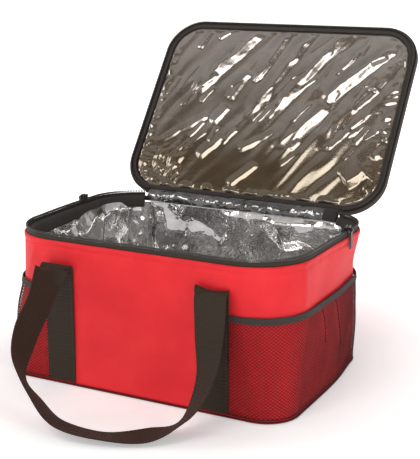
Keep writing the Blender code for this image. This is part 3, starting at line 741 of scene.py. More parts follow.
def shut_faces(rows, columns):
    """Faces of two grids, one below the other, joined at their rims."""
    count = rows * columns
    upper = (grid_faces(rows, columns) + count).tolist()
    lower = grid_faces(rows, columns)[:, ::-1].tolist()
    rim = (
        list(range(columns))
        + [r * columns + columns - 1 for r in range(1, rows)]
        + [(rows - 1) * columns + k for k in range(columns - 2, -1, -1)]
        + [r * columns for r in range(rows - 2, 0, -1)]
    )
    ahead = rim[1:] + rim[:1]
    return upper + lower + [[a, b, b + count, a + count] for a, b in zip(rim, ahead)]


def make_base():
    """The base panel and the corded seam round it."""
    x, y = panel_grid(BASE_LENGTH, BASE_DEPTH, BASE_RADIUS, 0.004)
    inside, _, _ = edge_distance(x, y, BASE_LENGTH, BASE_DEPTH, BASE_RADIUS)
    lift = 0.0004 * smooth_step(inside / 0.03) * (1 + layered_noise(x, y, 0.05, 31, 2))
    x, y = sink(x, y, 0.0, inside)
    below = np.stack([x, y, lift * 0.6 * (inside > 0.004)], -1)
    above = np.stack([x, y, np.full_like(x, 0.0015)], -1)
    uv = np.stack([np.stack([x, y], -1)] * 2)
    panel = add_mesh("base_cloth", np.stack([below, above]), shut_faces(*x.shape), RED, uv)
    finish_piece(panel, "bag", "red_cloth", "base_shell")
    flat = (BASE_LENGTH, BASE_DEPTH)

    pattern = loop_pattern(0.0030)
    radius = 0.0010
    around = ring_turns(10)
    insets = -radius * np.cos(around) - radius - CLEARANCE
    line, normal = loop_points(pattern, *(np.full(10, v) for v in (*flat, BASE_RADIUS)), insets)
    points = sunk_rows(line, normal, radius * np.sin(around) + radius + 2 * CLEARANCE)
    s = run_along(loop_points(pattern, RIM_LENGTH, RIM_DEPTH, RIM_RADIUS)[0][0])
    uv = cloth_places(s, around * radius)[..., ::-1]
    cord = grid_object("base_cord", points, PIPING, uv, close_rows=True, close_columns=True)
    finish_piece(cord, "bag", "red_cloth", "base_piping")


# -------------------------------------------------------------- foil linings

def make_lining():
    """Crushed foil round the inside and over the floor."""
    s = run_along(RIM_ROW)
    heights = np.linspace(FLOOR_Z + 0.001, 0.163, 72)
    sg, zg = np.meshgrid(s, heights)
    girth = s[-1] + SPACING
    lift = crumple(sg, zg, 41, 0.022, 0.075, 7, 0.20) + crumple(sg, zg, 47, 0.006, 0.016, 5, 0.07)
    seam = smooth_step(np.minimum(sg, girth - sg) / 0.01)
    near_top = smooth_step((0.1655 - zg) / 0.012)
    near_floor = smooth_step((zg - FLOOR_Z) / 0.008)
    lift = 0.0002 + np.clip(0.0034 + lift * seam, 0, 0.0095) * near_top * near_floor
    inner, _ = body_rows(BODY, heights, LINER_OUTER + 0.0006 + lift)
    outer_heights = heights[::-8]
    outer, _ = body_rows(BODY, outer_heights, np.full(len(outer_heights), LINER_OUTER))
    points = np.concatenate([outer[::-1], inner[::-1]])
    uv = cloth_places(s, np.concatenate([outer_heights[::-1] - 0.2, heights[::-1]]))
    lining = grid_object("wall_foil", points, FOIL, uv, close_rows=True, close_columns=True)
    finish_piece(lining, "bag", "silver_foil", "wall_liner")

    length, depth, radius = inner_size(BASE_LENGTH, BASE_DEPTH, BASE_RADIUS, FLOOR_INSET)
    x, y = panel_grid(length, depth, radius, 0.0025)
    inside, _, _ = edge_distance(x, y, length, depth, radius)
    lift = np.clip(0.0022 + crumple(x, y, 43, 0.009, 0.060, 10, 0.09), 0, 0.007)
    uv = np.stack([x + 1.0, y], -1)
    x, y = sink(x, y, FLOOR_Z, inside)
    points = np.stack([x, y, FLOOR_Z + 0.0004 + lift * smooth_step(inside / 0.006)], -1)
    floor = grid_object("floor_foil", points, FOIL, uv)
    thicken(floor, 0.0004)
    finish_piece(floor, "bag", "silver_foil", "floor_liner")


# ------------------------------------------------------------------- the zip

TOOTH = (0.0022, 0.0014, 0.0023)
TOOTH_PITCH = 0.0021


def open_slice(row, gap=HINGE_LENGTH):
    """Which points of a closed row the zip takes, in order."""
    keep = ~((row[:, 1] > row[:, 1].mean()) & (np.abs(row[:, 0]) < gap / 2))
    return np.flatnonzero(keep)


def soft_strip(outer, inner, bottom, top):
    """A cloth strip's section, rounded at its upper edge: insets and heights."""
    middle, half = (outer + inner) / 2, (inner - outer) / 2
    up = np.linspace(bottom, top - half, 6)
    cap = np.linspace(0, math.pi, 5)[1:-1]
    insets = np.concatenate([np.full(6, outer), middle - half * np.cos(cap), np.full(6, inner)])
    heights = np.concatenate([up, top - half + half * np.sin(cap), up[::-1]])
    return insets, heights


def black_band(name, rows, s, run, material, body, node):
    """A closed section swept along an open stretch."""
    made = add_mesh(name, rows, capped_faces(*rows.shape[:2]), material, cloth_places(s, run))
    finish_piece(made, body, "black_binding", node)


def mouth_band(name, heights, insets, sway, pitch, gap, material, node):
    """A band round the mouth, which sways outwards in places, open at the hinge."""
    rows, normal = body_rows(BODY, heights, insets)
    rows[..., :2] += normal[None] * sway(run_along(rows[0]), heights)[..., None]
    rows = rows[:, open_slice(rows[0], gap)]
    run = np.cumsum(np.full(len(heights), pitch))
    black_band(name, rows, run_along(rows[0]), run, material, "bag", node)


def make_teeth(name, line, up, body, node):
    """Moulded teeth along a line, as one piece."""
    points, along = even_points(line, TOOTH_PITCH)
    up = np.tile(np.asarray(up, float), (len(points), 1))
    width, length, height = TOOTH
    sides = ((-1, -1), (1, -1), (1, 1), (-1, 1))
    shape = np.array(
        [
            (a * width / 2, b * (0.62 if level else 1) * length / 2, level * height)
            for level in (0, 1)
            for a, b in sides
        ]
    )
    box = np.array([(0, 3, 2, 1), (4, 5, 6, 7), (0, 1, 5, 4), (1, 2, 6, 5), (2, 3, 7, 6), (3, 0, 4, 7)])
    vertices = copies(points, (unit(np.cross(along, up)), along, up), shape)
    faces = (np.arange(len(points))[:, None, None] * len(shape) + box[None]).reshape(-1, 4)
    made = add_mesh(name, vertices, faces, TEETH, smooth=False)
    bevel = made.modifiers.new("edges", "BEVEL")
    bevel.width = 0.00018
    bevel.segments = 1
    finish_piece(made, body, "zip_teeth", node)


def even_points(row, pitch):
    """Points along a row at an even pitch, with the direction of travel."""
    s = run_along(row)
    count = int(s[-1] / pitch)
    wanted = (np.arange(count) + 0.5) * s[-1] / count
    points, ahead, behind = (
        np.stack([np.interp(wanted + step, s, row[:, k]) for k in range(3)], -1)
        for step in (0.0, 0.0005, -0.0005)
    )
    return points, unit(ahead - behind)


def stitches(name, row, lift, body, slot, pitch=0.0034, length=0.0024, thick=0.0003):
    """A line of thread: one short stitch after another. lift is where up is, at each point."""
    points, along = even_points(row, pitch)
    s = run_along(row)
    at = np.linspace(0, s[-1], len(points))
    up = unit(np.stack([np.interp(at, s, lift[:, k]) for k in range(3)], -1))
    across = unit(np.cross(along, up))
    ring = []
    for share, size in ((-0.5, 0.35), (-0.25, 1.0), (0.25, 1.0), (0.5, 0.35)):
        for turn in ring_turns(6):
            ring.append((share * length, size * thick * math.cos(turn), 0.8 * size * thick * math.sin(turn)))
    base = grid_faces(4, 6, close_columns=True).tolist() + [[5, 4, 3, 2, 1, 0], [18, 19, 20, 21, 22, 23]]
    faces = [[index * len(ring) + k for k in face] for index in range(len(points)) for face in base]
    made = add_mesh(name, copies(points, (along, across, up), np.array(ring)), faces, THREAD)
    finish_piece(made, body, slot)


def make_zip():
    """The zip's lower tape and teeth, and the facing that hangs inside the mouth."""

    def tape_sway(s, heights):
        free = smooth_step((heights - WALL_HEIGHT) / 0.004)
        return 0.00035 * line_noise(s, 0.030, 52)[None, :] * free[:, None]

    insets, heights = soft_strip(TAPE_OUTER, TAPE_INNER, TAPE_BOTTOM, TAPE_TOP)
    mouth_band("mouth_tape", heights, insets, tape_sway, 0.0009, HINGE_LENGTH, TAPE, "body_zip_tape")

    row, _ = body_rows(BODY, [TEETH_BOTTOM + 0.0001], [TEETH_MIDDLE])
    make_teeth("mouth_teeth", row[0][open_slice(row[0])], (0.0, 0.0, 1.0), "bag", "body_zip_teeth")

    def facing_sway(s, heights):
        free = smooth_step((FACING_TOP - heights) / 0.012)
        return -np.clip(0.0009 * line_noise(s, 0.018, 53)[None, :] * free[:, None], -0.0002, 0.001)

    insets, heights = soft_strip(FACING_OUTER, FACING_INNER, FACING_TOP - 0.018, FACING_TOP - 0.0026)
    insets = insets - 0.0052 * smooth_step((heights - (FACING_TOP - 0.010)) / 0.010) ** 2
    mouth_band("mouth_facing", heights, insets, facing_sway, 0.0012, FACING_GAP, BINDING, "rim_facing")


# ------------------------------------------------------------------- the lid

def stretched_on_lid(piece, thickness, slot, node):
    thicken(piece, thickness)
    finish_piece(piece, "lid", slot, node)


def make_lid_cover():
    """A soft red panel that rolls over the lid's edge into a skirt."""
    roll, crown = 0.0036, 0.0020
    skirt = COVER_TOP - roll - COVER_BOTTOM
    arc = roll * math.pi / 2
    extra = skirt + arc - roll
    length, depth, radius = inner_size(RIM_LENGTH, RIM_DEPTH, LID_RADIUS, -extra)
    x, y = panel_grid(length, depth, radius, 0.0026)
    c, nx, ny = edge_distance(x, y, length, depth, radius)
    on_arc = np.clip((c - skirt) / roll, 0, math.pi / 2)
    inset = np.where(c < skirt + arc, roll * (1 - np.cos(on_arc)), c - extra)
    push = c - extra - np.where(c < skirt, 0.0, inset)
    x, y = x + nx * push, y + ny * push
    in_from_edge = c - extra
    inner = smooth_step((in_from_edge - 0.004) / 0.06)
    seam = np.exp(-(((in_from_edge - 0.0085) / 0.0010) ** 2))
    pucker = value_noise(x / 0.011, y / 0.011, 62) * np.exp(-(((in_from_edge - 0.013) / 0.007) ** 2))
    z = np.where(c < skirt, COVER_BOTTOM + c, COVER_TOP - roll + roll * np.sin(on_arc))
    z = z + inner * (crown + 0.0007 * layered_noise(x, y, 0.07, 61, 3)) - 0.0006 * seam + 0.00035 * pucker
    points = to_lid(np.stack([x, y - RIM_DEPTH / 2, z], -1))
    cover = grid_object("lid_panel", points, RED, np.stack([x + 2.0, y], -1))
    stretched_on_lid(cover, SHELL, "red_cloth", "lid_cover")


def make_lid_lining():
    """Foil under clear film, drawn into slanting folds and crushed at its edges."""
    length, depth, radius = inner_size(RIM_LENGTH, RIM_DEPTH, LID_RADIUS, LINING_INSET)
    x, y = panel_grid(length, depth, radius, 0.00125)
    c, _, _ = edge_distance(x, y, length, depth, radius)
    points = to_lid(np.stack([x, y - RIM_DEPTH / 2, LINING_HEIGHT - lid_folds(x, y, c)], -1))
    uv = np.stack([x + 3.0, y], -1)
    lining = grid_object("lid_foil", points[:, ::-1], LID_FOIL, uv[:, ::-1])
    stretched_on_lid(lining, 0.0003, "silver_foil", "lid_liner")


# Drawn folds of the lid's lining: both ends, and how wide the side that faces the
# tip's right is. Millimetres from the lid's middle.
LID_STREAKS = (
    (-39, -119, -110, -20, 11.5), (0, -117, -27, -44, 6.9), (33, -114, -19, 8, 9.2),
    (81, -121, 15, -8, 10.3), (150, -98, 75, -17, 12.6), (82, -10, 30, 54, 9.2),
    (-117, -116, -127, -89, 4.6), (-58, -1, -72, 26, 5.8), (-52, 45, -78, 78, 5.8),
    (-84, 16, -141, 59, 4.6), (-41, -55, -58, -12, 5.8), (96, -5, 96, 50, 6.9),
    (18, 33, -23, 64, 4.6), (-104, -105, -89, -117, 3.4), (7, 81, -23, 115, 4.6),
    (145, -53, 140, -38, 9.2), (144, -85, 125, -75, 4.6), (134, 98, 155, 78, 12.0),
)


FINE_STREAKS = 46
# How high a fold stands for its width
FOLD_STEEPNESS = 0.235


def fine_streaks():
    """Short narrow folds scattered among the drawn ones."""
    draw = np.random.default_rng(85)
    made = []
    for _ in range(FINE_STREAKS):
        x, y = draw.uniform(-165, 160), draw.uniform(-122, 78)
        turn = math.radians(draw.normal(-math.degrees(FOLD_TURN), 9))
        half = draw.uniform(7, 24)
        dx, dy = half * math.cos(turn), half * math.sin(turn)
        made.append((x - dx, y - dy, x + dx, y + dy, draw.uniform(1.8, 3.4)))
    return tuple(made)


def drawn_folds(x, y):
    """Ridges with a short steep side, whose ends run out into the flat."""
    total = np.zeros_like(x)
    for x0, y0, x1, y1, width in LID_STREAKS + fine_streaks():
        start = np.array([x0, y0]) / 1000
        way = np.array([x1, y1]) / 1000 - start
        length = np.hypot(*way)
        way = way / length
        out = np.array([way[1], -way[0]])
        if out @ (math.sin(FOLD_TURN), math.cos(FOLD_TURN)) < 0:
            out = -out
        wide = width / 1000
        share = ((x - start[0]) * way[0] + (y - start[1]) * way[1]) / length
        across = (x - start[0]) * out[0] + (y - start[1]) * out[1]
        across = across + 0.0014 * layered_noise(x, y, 0.020, 83, 3)
        # The steep side falls over the width; the other rises over more than twice that.
        fall = np.clip(0.5 - across / wide, 0, 1)
        rise = np.clip((across + 2.9 * wide) / (2.4 * wide), 0, 1)
        ends = smooth_step((share + 0.06) / 0.16) * smooth_step((1.06 - share) / 0.16)
        total += FOLD_STEEPNESS * wide * np.minimum(fall, smooth_step(rise)) * ends
    return total


def lid_folds(x, y, c):
    """How far the lid's lining stands off, towards the inside of the bag."""
    across = x * math.sin(FOLD_TURN) + y * math.cos(FOLD_TURN)
    along = x * math.cos(FOLD_TURN) - y * math.sin(FOLD_TURN)
    warp = 0.008 * layered_noise(x, y, 0.07, 81, 2)
    strength = np.clip(0.45 + 0.9 * layered_noise(across, along * 0.6, 0.055, 84, 2), 0.0, 1.2)
    broad = np.sin(2 * math.pi * (across + warp) / 0.027)
    narrow = np.sin(2 * math.pi * (across * 0.96 + along * 0.10 + 0.6 * warp) / 0.0115 + 1.3)
    folds = 0.00050 * broad * strength + 0.00010 * narrow * np.clip(strength - 0.3, 0, 1)
    folds = folds + drawn_folds(x, y)
    corner = smooth_step((-0.07 - x) / 0.07) * smooth_step((y - 0.045) / 0.05)
    right = smooth_step((x - 0.140) / 0.025)
    hinge_side = smooth_step((y - 0.112) / 0.010)
    left = smooth_step((-0.155 - x) / 0.012)
    tip = 0.4 * smooth_step((-0.114 - y) / 0.01)
    crushed = np.clip(corner + 0.7 * right + hinge_side + 0.6 * left + tip, 0, 1)
    small = crumple(x, y, 87, 0.0045, 0.020, 8, 0.16)
    held = smooth_step((c - 0.0050) / 0.004)
    facets = np.clip(0.0006 + small, -0.0004, 0.003)
    return held * (0.0009 + folds * (1 - 0.6 * crushed) + facets * crushed)


def make_lid_edge():
    """The border, piping, tape and teeth round the lid."""
    pattern = loop_pattern(SPACING, LID_RADIUS)
    s = run_along(lid_rows(pattern, [0.0], [0.0])[0])

    def ring(name, rows, run, *nodes):
        uv = cloth_places(s, run)
        made = grid_object(name, to_lid(rows), BINDING, uv, close_rows=True, close_columns=True)
        finish_piece(made, "lid", "black_binding", *nodes)

    turn = ring_turns(14)
    insets = 0.00565 - 0.00285 * squared(np.cos(turn), 0.75)
    rows = lid_rows(pattern, 0.0059 + 0.00095 * squared(np.sin(turn), 0.6), insets)
    ripple = 0.00022 * line_noise(s, 0.009, 91) + 0.0003 * line_noise(s, 0.031, 92)
    rows[..., 2] += ripple[None] * (np.sin(turn) < 0)[:, None]
    ring("lid_border", rows, turn * 0.003, "lid_binding")
    row = lid_rows(pattern, [0.00492], [0.0071])[0]
    closed = to_lid(np.vstack([row, row[:1]]))
    inwards = np.array(LID)[:3, :3] @ (0.0, 0.0, -1.0)
    lift = np.tile(inwards, (len(closed), 1))
    stitches("lid_border_stitches", closed, lift, "lid", "black_binding", 0.0036, 0.0026, 0.00045)

    around = ring_turns(10)
    rows = lid_rows(pattern, 0.0068 + 0.0012 * np.sin(around), -0.0003 - 0.0012 * np.cos(around))
    ring("lid_cord", rows, around * 0.0012, "lid_piping")

    # A black tape covers the cover's skirt from the piping outwards.
    insets, heights = soft_strip(-0.0010, -0.0001, 0.0074, 0.0150)
    ring("lid_side_tape", lid_rows(pattern, heights, insets), np.arange(len(heights)) * 0.0012)

    insets, heights = soft_strip(TAPE_OUTER, TAPE_INNER, -0.0123, -0.0040)
    rows = lid_rows(pattern, -heights, insets)
    keep = open_slice(rows[0])
    run = np.arange(len(rows)) * 0.0012
    black_band("lid_tape", to_lid(rows[:, keep]), s[keep], run, TAPE, "lid", "lid_zip_tape")
    row = lid_rows(pattern, [0.0036], [TEETH_MIDDLE])[0]
    make_teeth("lid_teeth", to_lid(row[keep]), inwards, "lid", "lid_zip_teeth")


# ----------------------------------------------------------------- the hinge

def across_joint(name, line, ends, rough, thickness, material, slot, start, end, *nodes):
    """A strip that crosses from the bag to the lid along a line of (y, z) points."""
    line = np.array(line)
    run = run_along(line)
    t = np.linspace(0, run[-1], 14)
    y, z = (
        np.convolve(np.pad(np.interp(t, run, line[:, k]), 2, "edge"), np.ones(5) / 5, "valid") for k in (0, 1)
    )
    x = np.linspace(*ends, round((ends[1] - ends[0]) / 0.0016))
    gy, gz = np.gradient(y), np.gradient(z)
    size = np.hypot(gy, gz)
    ny, nz = gz / size, -gy / size
    xx, tt = np.meshgrid(x, t)
    held = np.sin(np.pi * np.clip(tt / t[-1], 0, 1)) ** 0.7
    lift = rough * crumple(xx, tt, 101, 0.006, 0.030, 8, 0.16) * held
    points = np.stack([xx, y[:, None] - ny[:, None] * lift, z[:, None] - nz[:, None] * lift], -1)
    piece = grid_object(name, points, material, np.stack([xx + 4.0, tt], -1))
    # The thickness goes into the mesh itself.
    thicken(piece, thickness, 0.0)
    bpy.context.view_layer.update()
    shown = piece.evaluated_get(bpy.context.evaluated_depsgraph_get())
    mesh = bpy.data.meshes.new_from_object(shown)
    piece.modifiers.clear()
    piece.data = mesh
    blend_piece(piece, "lid", slot, start, end, *nodes)


def blend_piece(piece, body, slot, start, end, *nodes):
    """A piece that goes from the bag over to another body. Its transform is baked in and the solids it stands
    for are hidden; body, start and end are not used.
    """
    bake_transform(piece)
    if nodes:
        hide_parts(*nodes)


def make_hinge():
    """Cloth outside and foil inside, both crossing from the bag to the lid."""
    half = HINGE_CLOTH / 2
    back = RIM_DEPTH / 2 + CLEARANCE + 0.0005
    outside = [(back, 0.163), (back, 0.168), (0.1337, 0.1712), (0.1347, 0.1726)]
    start, end = (0, 0.1328, 0.1680), (0, 0.1347, 0.1726)
    black = (BINDING, "black_binding")
    across_joint("hinge_cloth", outside, (-half, half), 0.25, 0.0008, *black, start, end, "hinge_strip")
    inside = [(0.1241, 0.1612), (0.1247, 0.1679), (0.1278, 0.1731), (0.1315, 0.1758), (0.1370, 0.1763)]
    start, end = (0, 0.1244, 0.1640), (0, 0.1366, 0.1763)
    foil = (HINGE_FOIL, "silver_foil")
    across_joint("hinge_foil", inside, (-half, HINGE_FOIL_END), 0.9, 0.0005, *foil, start, end, "hinge_liner")
    across_joint("hinge_tab", inside, (HINGE_FOIL_END + 0.0002, half), 0.2, 0.0007, *black, start, end)


# ------------------------------------------------------------------- webbing

def webbing_strip(name, centres, across, normals, run, rib):
    """A woven strap: ribs cross both faces, and the woven edge is flat and rounded."""
    half, thick = WEBBING / 2, WEBBING_THICK / 2
    share = np.array([-1, -0.985, -0.955, -0.90, -0.6, -0.3, 0, 0.3, 0.6, 0.90, 0.955, 0.985, 1])
    depth = np.array([0.35, 0.8, 0.92, 0.95, 1, 1, 1, 1, 1, 0.95, 0.92, 0.8, 0.35])
    ribbed = np.where(np.abs(share) < 0.92, 1.0, 0.0)
    wave = 0.5 + 0.5 * np.cos(2 * math.pi * run / RIB_PITCH)
    rows = []
    for side in (1, -1):
        at, deep, ribs = share[::side], depth[::side], ribbed[::side]
        height = side * (thick * deep[None, :] - RIB_DEPTH * (wave * rib)[:, None] * ribs[None, :])
        aside = across[:, None] * (at * half)[None, :, None]
        rows.append(centres[:, None] + aside + normals[:, None] * height[..., None])
    points = np.concatenate(rows, 1)
    girth = points.shape[1]
    uv = cloth_places(np.concatenate([share * half, share[::-1] * half + 0.1]), run)
    faces = grid_faces(len(run), girth, close_columns=True).tolist()
    faces.append(list(range(girth))[::-1])
    faces.append([(len(run) - 1) * girth + k for k in range(girth)])
    return add_mesh(name, points, faces, WEB, uv)


def smooth_route(stations, steps):
    """Points and width directions along a smooth curve through the stations."""
    made = []
    count = len(stations)
    for index in range(count - 1):
        around = [stations[min(max(index + k, 0), count - 1)] for k in (-1, 0, 1, 2)]
        for step in range(steps):
            t = step / steps
            weights = (
                (-t + 2 * t * t - t**3) / 2,
                (2 - 5 * t * t + 3 * t**3) / 2,
                (t + 4 * t * t - 3 * t**3) / 2,
                (-t * t + t**3) / 2,
            )
            point = sum((w * s[0] for w, s in zip(weights, around)), Vector())
            width = sum((w * s[1] for w, s in zip(weights, around)), Vector())
            made.append((point, width.normalized()))
    made.append(stations[-1])
    return made


# How the folds over the pivots spread, and how far the right leg lies to the right.
FOLD_RISE, FOLD_PUSH, RIGHT_SHIFT = 0.0032, 0.0042, 0.0045
PIVOT = Vector((0, -0.13931, PIVOT_HEIGHT))
# The front columns stand a little off their even spacing, as in the photograph.
COLUMN_SHIFT = {"left": -0.0018, "right": 0.0015}
STITCH_OFF, STITCH_TOP = 0.0158, 0.128


def handle_stations(drape, slack):
    """The drape with a fold over each pivot. slack raises the left fold and
    sets the right leg outwards."""
    right = Vector((1, 0, 0))
    half = STRAP_SPACING / 2
    column_face = float(body_size(PIVOT_HEIGHT)[1]) / 2 + 2 * CLEARANCE + WEBBING_THICK
    near = -PIVOT.y - column_face - WEBBING_THICK / 2

    def fold(x, degrees, rise, push):
        turn = math.radians(degrees)
        back = math.cos(turn)
        y = near * back if back > 0 else (HOOK_RADIUS + push) * back
        z = HOOK_RADIUS * math.sin(turn) + (rise * math.sin(turn) ** 0.7 if 0 < degrees < 180 else 0.0)
        return PIVOT + Vector((x, y, z))

    rise, push = slack * FOLD_RISE, slack * FOLD_PUSH
    stations = [(fold(-half, turn, rise, push), right) for turn in range(0, 180, 30)]
    for point, width in drape:
        stations.append((Vector(point), Vector(width).normalized()))
    shifted = half + slack * RIGHT_SHIFT
    stations.append((PIVOT + Vector((shifted, -1.3 * HOOK_RADIUS, -HOOK_RADIUS)), -right))
    for turn in range(180, -1, -30):
        back = half + slack * RIGHT_SHIFT * smooth_step(turn / 120)
        stations.append((fold(float(back), turn, 0.0, 0.0), -right))
    return near, stations


def resample(points, widths, step):
    run = run_along(points)
    at = np.linspace(0, run[-1], round(run[-1] / step) + 1)
    even = np.stack([np.interp(at, run, points[:, k]) for k in range(3)], -1)
    turned = np.stack([np.interp(at, run, widths[:, k]) for k in range(3)], -1)
    kernel = np.hanning(9)[1:-1]
    kernel /= kernel.sum()
    for data in (even, turned):
        for k in range(3):
            padded = np.concatenate([[data[0, k]] * 3, data[:, k], [data[-1, k]] * 3])
            data[:, k] = np.convolve(padded, kernel, "valid")
    return even, turned, at


def make_handles():
    for name, turn, node, drape, slack in (
        ("front_strap", 0.0, "front_handle", HANDLE_ROUTE, 1.0),
        ("rear_strap", math.pi, "rear_handle", REAR_ROUTE, 0.0),
    ):
        near, stations = handle_stations(drape, slack)
        route = smooth_route(stations, 16)
        points = np.array([p for p, _ in route])
        widths = np.array([w for _, w in route])
        points, widths, run = resample(points, widths, 0.0006)
        along = unit(np.gradient(points, axis=0))
        across = unit(widths - along * (widths * along).sum(1, keepdims=True))
        normals = np.cross(along, across)
        # The first leg and the last fold show the smooth face, the rest shows ribs.
        last_fold = smooth_step((run - (run[-1] - 0.062)) / 0.012)
        rib = 0.25 + 0.75 * smooth_step((run - 0.19) / 0.05) * (1 - last_fold)
        rib = np.where(run < 0.012, 0.8, rib)
        spin = np.array(Matrix.Rotation(turn, 3, "Z"))
        strap = webbing_strip(name, points @ spin.T, across @ spin.T, normals @ spin.T, run, rib)
        side = -1 if turn == 0 else 1
        start = (0, side * (-PIVOT.y - near + 0.0004), PIVOT_HEIGHT)
        end = (0, side * (-PIVOT.y + HOOK_RADIUS - 0.0004), PIVOT_HEIGHT)
        blend_piece(strap, node, "black_webbing", start, end, node)


def make_columns():
    """The webbing sewn up the walls, each with a line of stitches along both edges."""
    for row, side_y in (("front", -1), ("rear", 1)):
        normal = (0.0, float(side_y), 0.0)
        for column, side_x in (("left", -1), ("right", 1)):
            moved = COLUMN_SHIFT[column] if row == "front" else 0.0
            middle = side_x * STRAP_SPACING / 2 + moved

            def up_the_wall(z, x, out):
                return np.stack([np.full_like(z, x), side_y * (body_size(z)[1] / 2 + out), z], -1)

            z = np.arange(STRAP_START, STRAP_TOP, 0.0006)
            centres = up_the_wall(z, middle, CLEARANCE + WEBBING_THICK / 2)
            across, normals = (np.tile(way, (len(z), 1)) for way in ((1.0, 0.0, 0.0), normal))
            name = f"{row}_{column}_webbing"
            strip = webbing_strip(name, centres, across, normals, z, np.full_like(z, 0.75))
            finish_piece(strip, "bag", "black_webbing", f"{row}_{column}_column")
            line_z = np.linspace(STRAP_START + 0.003, STITCH_TOP, 40)
            for edge, edge_name in ((-1, "left"), (1, "right")):
                line = up_the_wall(line_z, middle + edge * STITCH_OFF, CLEARANCE + WEBBING_THICK)
                lift = np.tile(normal, (len(line), 1))
                stitches(f"{name}_stitches_{edge_name}", line, lift, "bag", "black_webbing")


# ------------------------------------------------------------------- pockets

NET_THICK = 0.00027
POCKET_EDGE = STRAP_SPACING / 2 + WEBBING / 2 + CLEARANCE
PLEATS = (
    # where along the right end's straight part, at the top and at the foot; their heights
    (-0.040, -0.024, 0.108, 0.060),
    (-0.001, 0.028, 0.110, 0.042),
)


def end_length(z):
    """How far it is round one end, from the front column to the rear one."""
    length, depth, radius = body_size(z)
    return 2 * (length / 2 - radius - POCKET_EDGE) + math.pi * radius + depth - 2 * radius


POCKET_RUN = float(end_length(POCKET_TOP))


def end_point(share, z):
    """A point round the right end, with its outward direction.

    share runs from 0 at the front column to 1 at the rear one."""
    share, z = np.broadcast_arrays(np.asarray(share, float), np.asarray(z, float))
    length, depth, radius = body_size(z)
    straight = length / 2 - radius - POCKET_EDGE
    arc, side = math.pi / 2 * radius, depth - 2 * radius
    way = share * end_length(z)
    first = np.clip(way, 0, straight)
    turned = np.clip(way - straight, 0, arc) + np.clip(way - straight - arc - side, 0, arc)
    across = np.clip(way - straight - arc, 0, side)
    last = np.clip(way - straight - 2 * arc - side, 0, straight)
    turn = turned / radius - math.pi / 2
    nx, ny = np.cos(turn), np.sin(turn)
    x = POCKET_EDGE + first - last + radius * nx
    y = across - side / 2 + radius * ny
    return x, y, z, nx, ny


def pocket_top(share):
    return POCKET_TOP + POCKET_TOP_RISE * np.sin(math.pi * share)


def pocket_gap(share, rise, side):
    """The left net bags out more than the right one."""
    swell = np.sin(math.pi * np.clip(share, 0, 1)) ** 0.8
    bulge = POCKET_BULGE + (0.0022 if side < 0 else 0.0) * np.sin(math.pi * np.clip(rise, 0, 1) ** 0.8)
    return NET_SEAT + bulge * swell * smooth_step(rise)


def pocket_point(share, rise, side, out=0.0):
    """A point of the net, with its pleats and slack, at a share of its height."""
    share = np.asarray(share, float)
    z = STRAP_START + (pocket_top(share) - STRAP_START) * rise
    run = share * POCKET_RUN
    slack = 0.0007 * layered_noise(run, z, 0.035, 121, 2) * np.sin(math.pi * np.clip(rise, 0, 1)) ** 0.5
    shift, bump = 0.0, 0.0
    for top_y, foot_y, top_z, foot_z in PLEATS:
        down = np.clip((top_z - z) / (top_z - foot_z), 0, 1.2)
        middle = POCKET_RUN / 2 + top_y + (foot_y - top_y) * down
        size = smooth_step((1.1 - down) / 0.5)
        t = (run - middle) / 0.005
        shift = shift - 0.0040 * size * t * np.exp(-t * t)
        bump = bump + 0.0016 * size * np.exp(-(t * 2.2) ** 2)
    free = smooth_step(rise * 6) * smooth_step((1 - rise) * 12)
    gap = pocket_gap(share, rise, side) + np.maximum(slack + bump, -0.0004) * free
    return placed(share + shift / POCKET_RUN, z, gap + NET / 2 + out, side)


def placed(share, z, out, side):
    """A point round either end, pushed out from the soft wall, and its outward direction."""
    x, y, z, nx, ny = end_point(share, z)
    sunk = slump(side * x, y, z)
    points = np.stack([side * (x + (out - sunk) * nx), y + (out - sunk) * ny, z], -1)
    return points, np.stack([side * nx, ny, np.zeros_like(nx)], -1)


def tuck_lines():
    """Threads gathered in each pleat: shares of the way round and of the height."""
    lines = []
    for top_y, foot_y, top_z, foot_z in PLEATS:
        down = np.linspace(0, 0.92, 40)
        middle = 0.5 + (top_y + (foot_y - top_y) * down) / POCKET_RUN
        height = np.minimum(top_z - (top_z - foot_z) * down, POCKET_TOP) - STRAP_START
        height = height / (POCKET_TOP - STRAP_START)
        for offset in np.linspace(-1, 1, 5):
            spread = 0.0009 * offset * (1 - 0.7 * down) / POCKET_RUN
            lines.append(np.stack([middle + spread, np.minimum(height, 0.985)], -1))
    return np.stack(lines, 1)


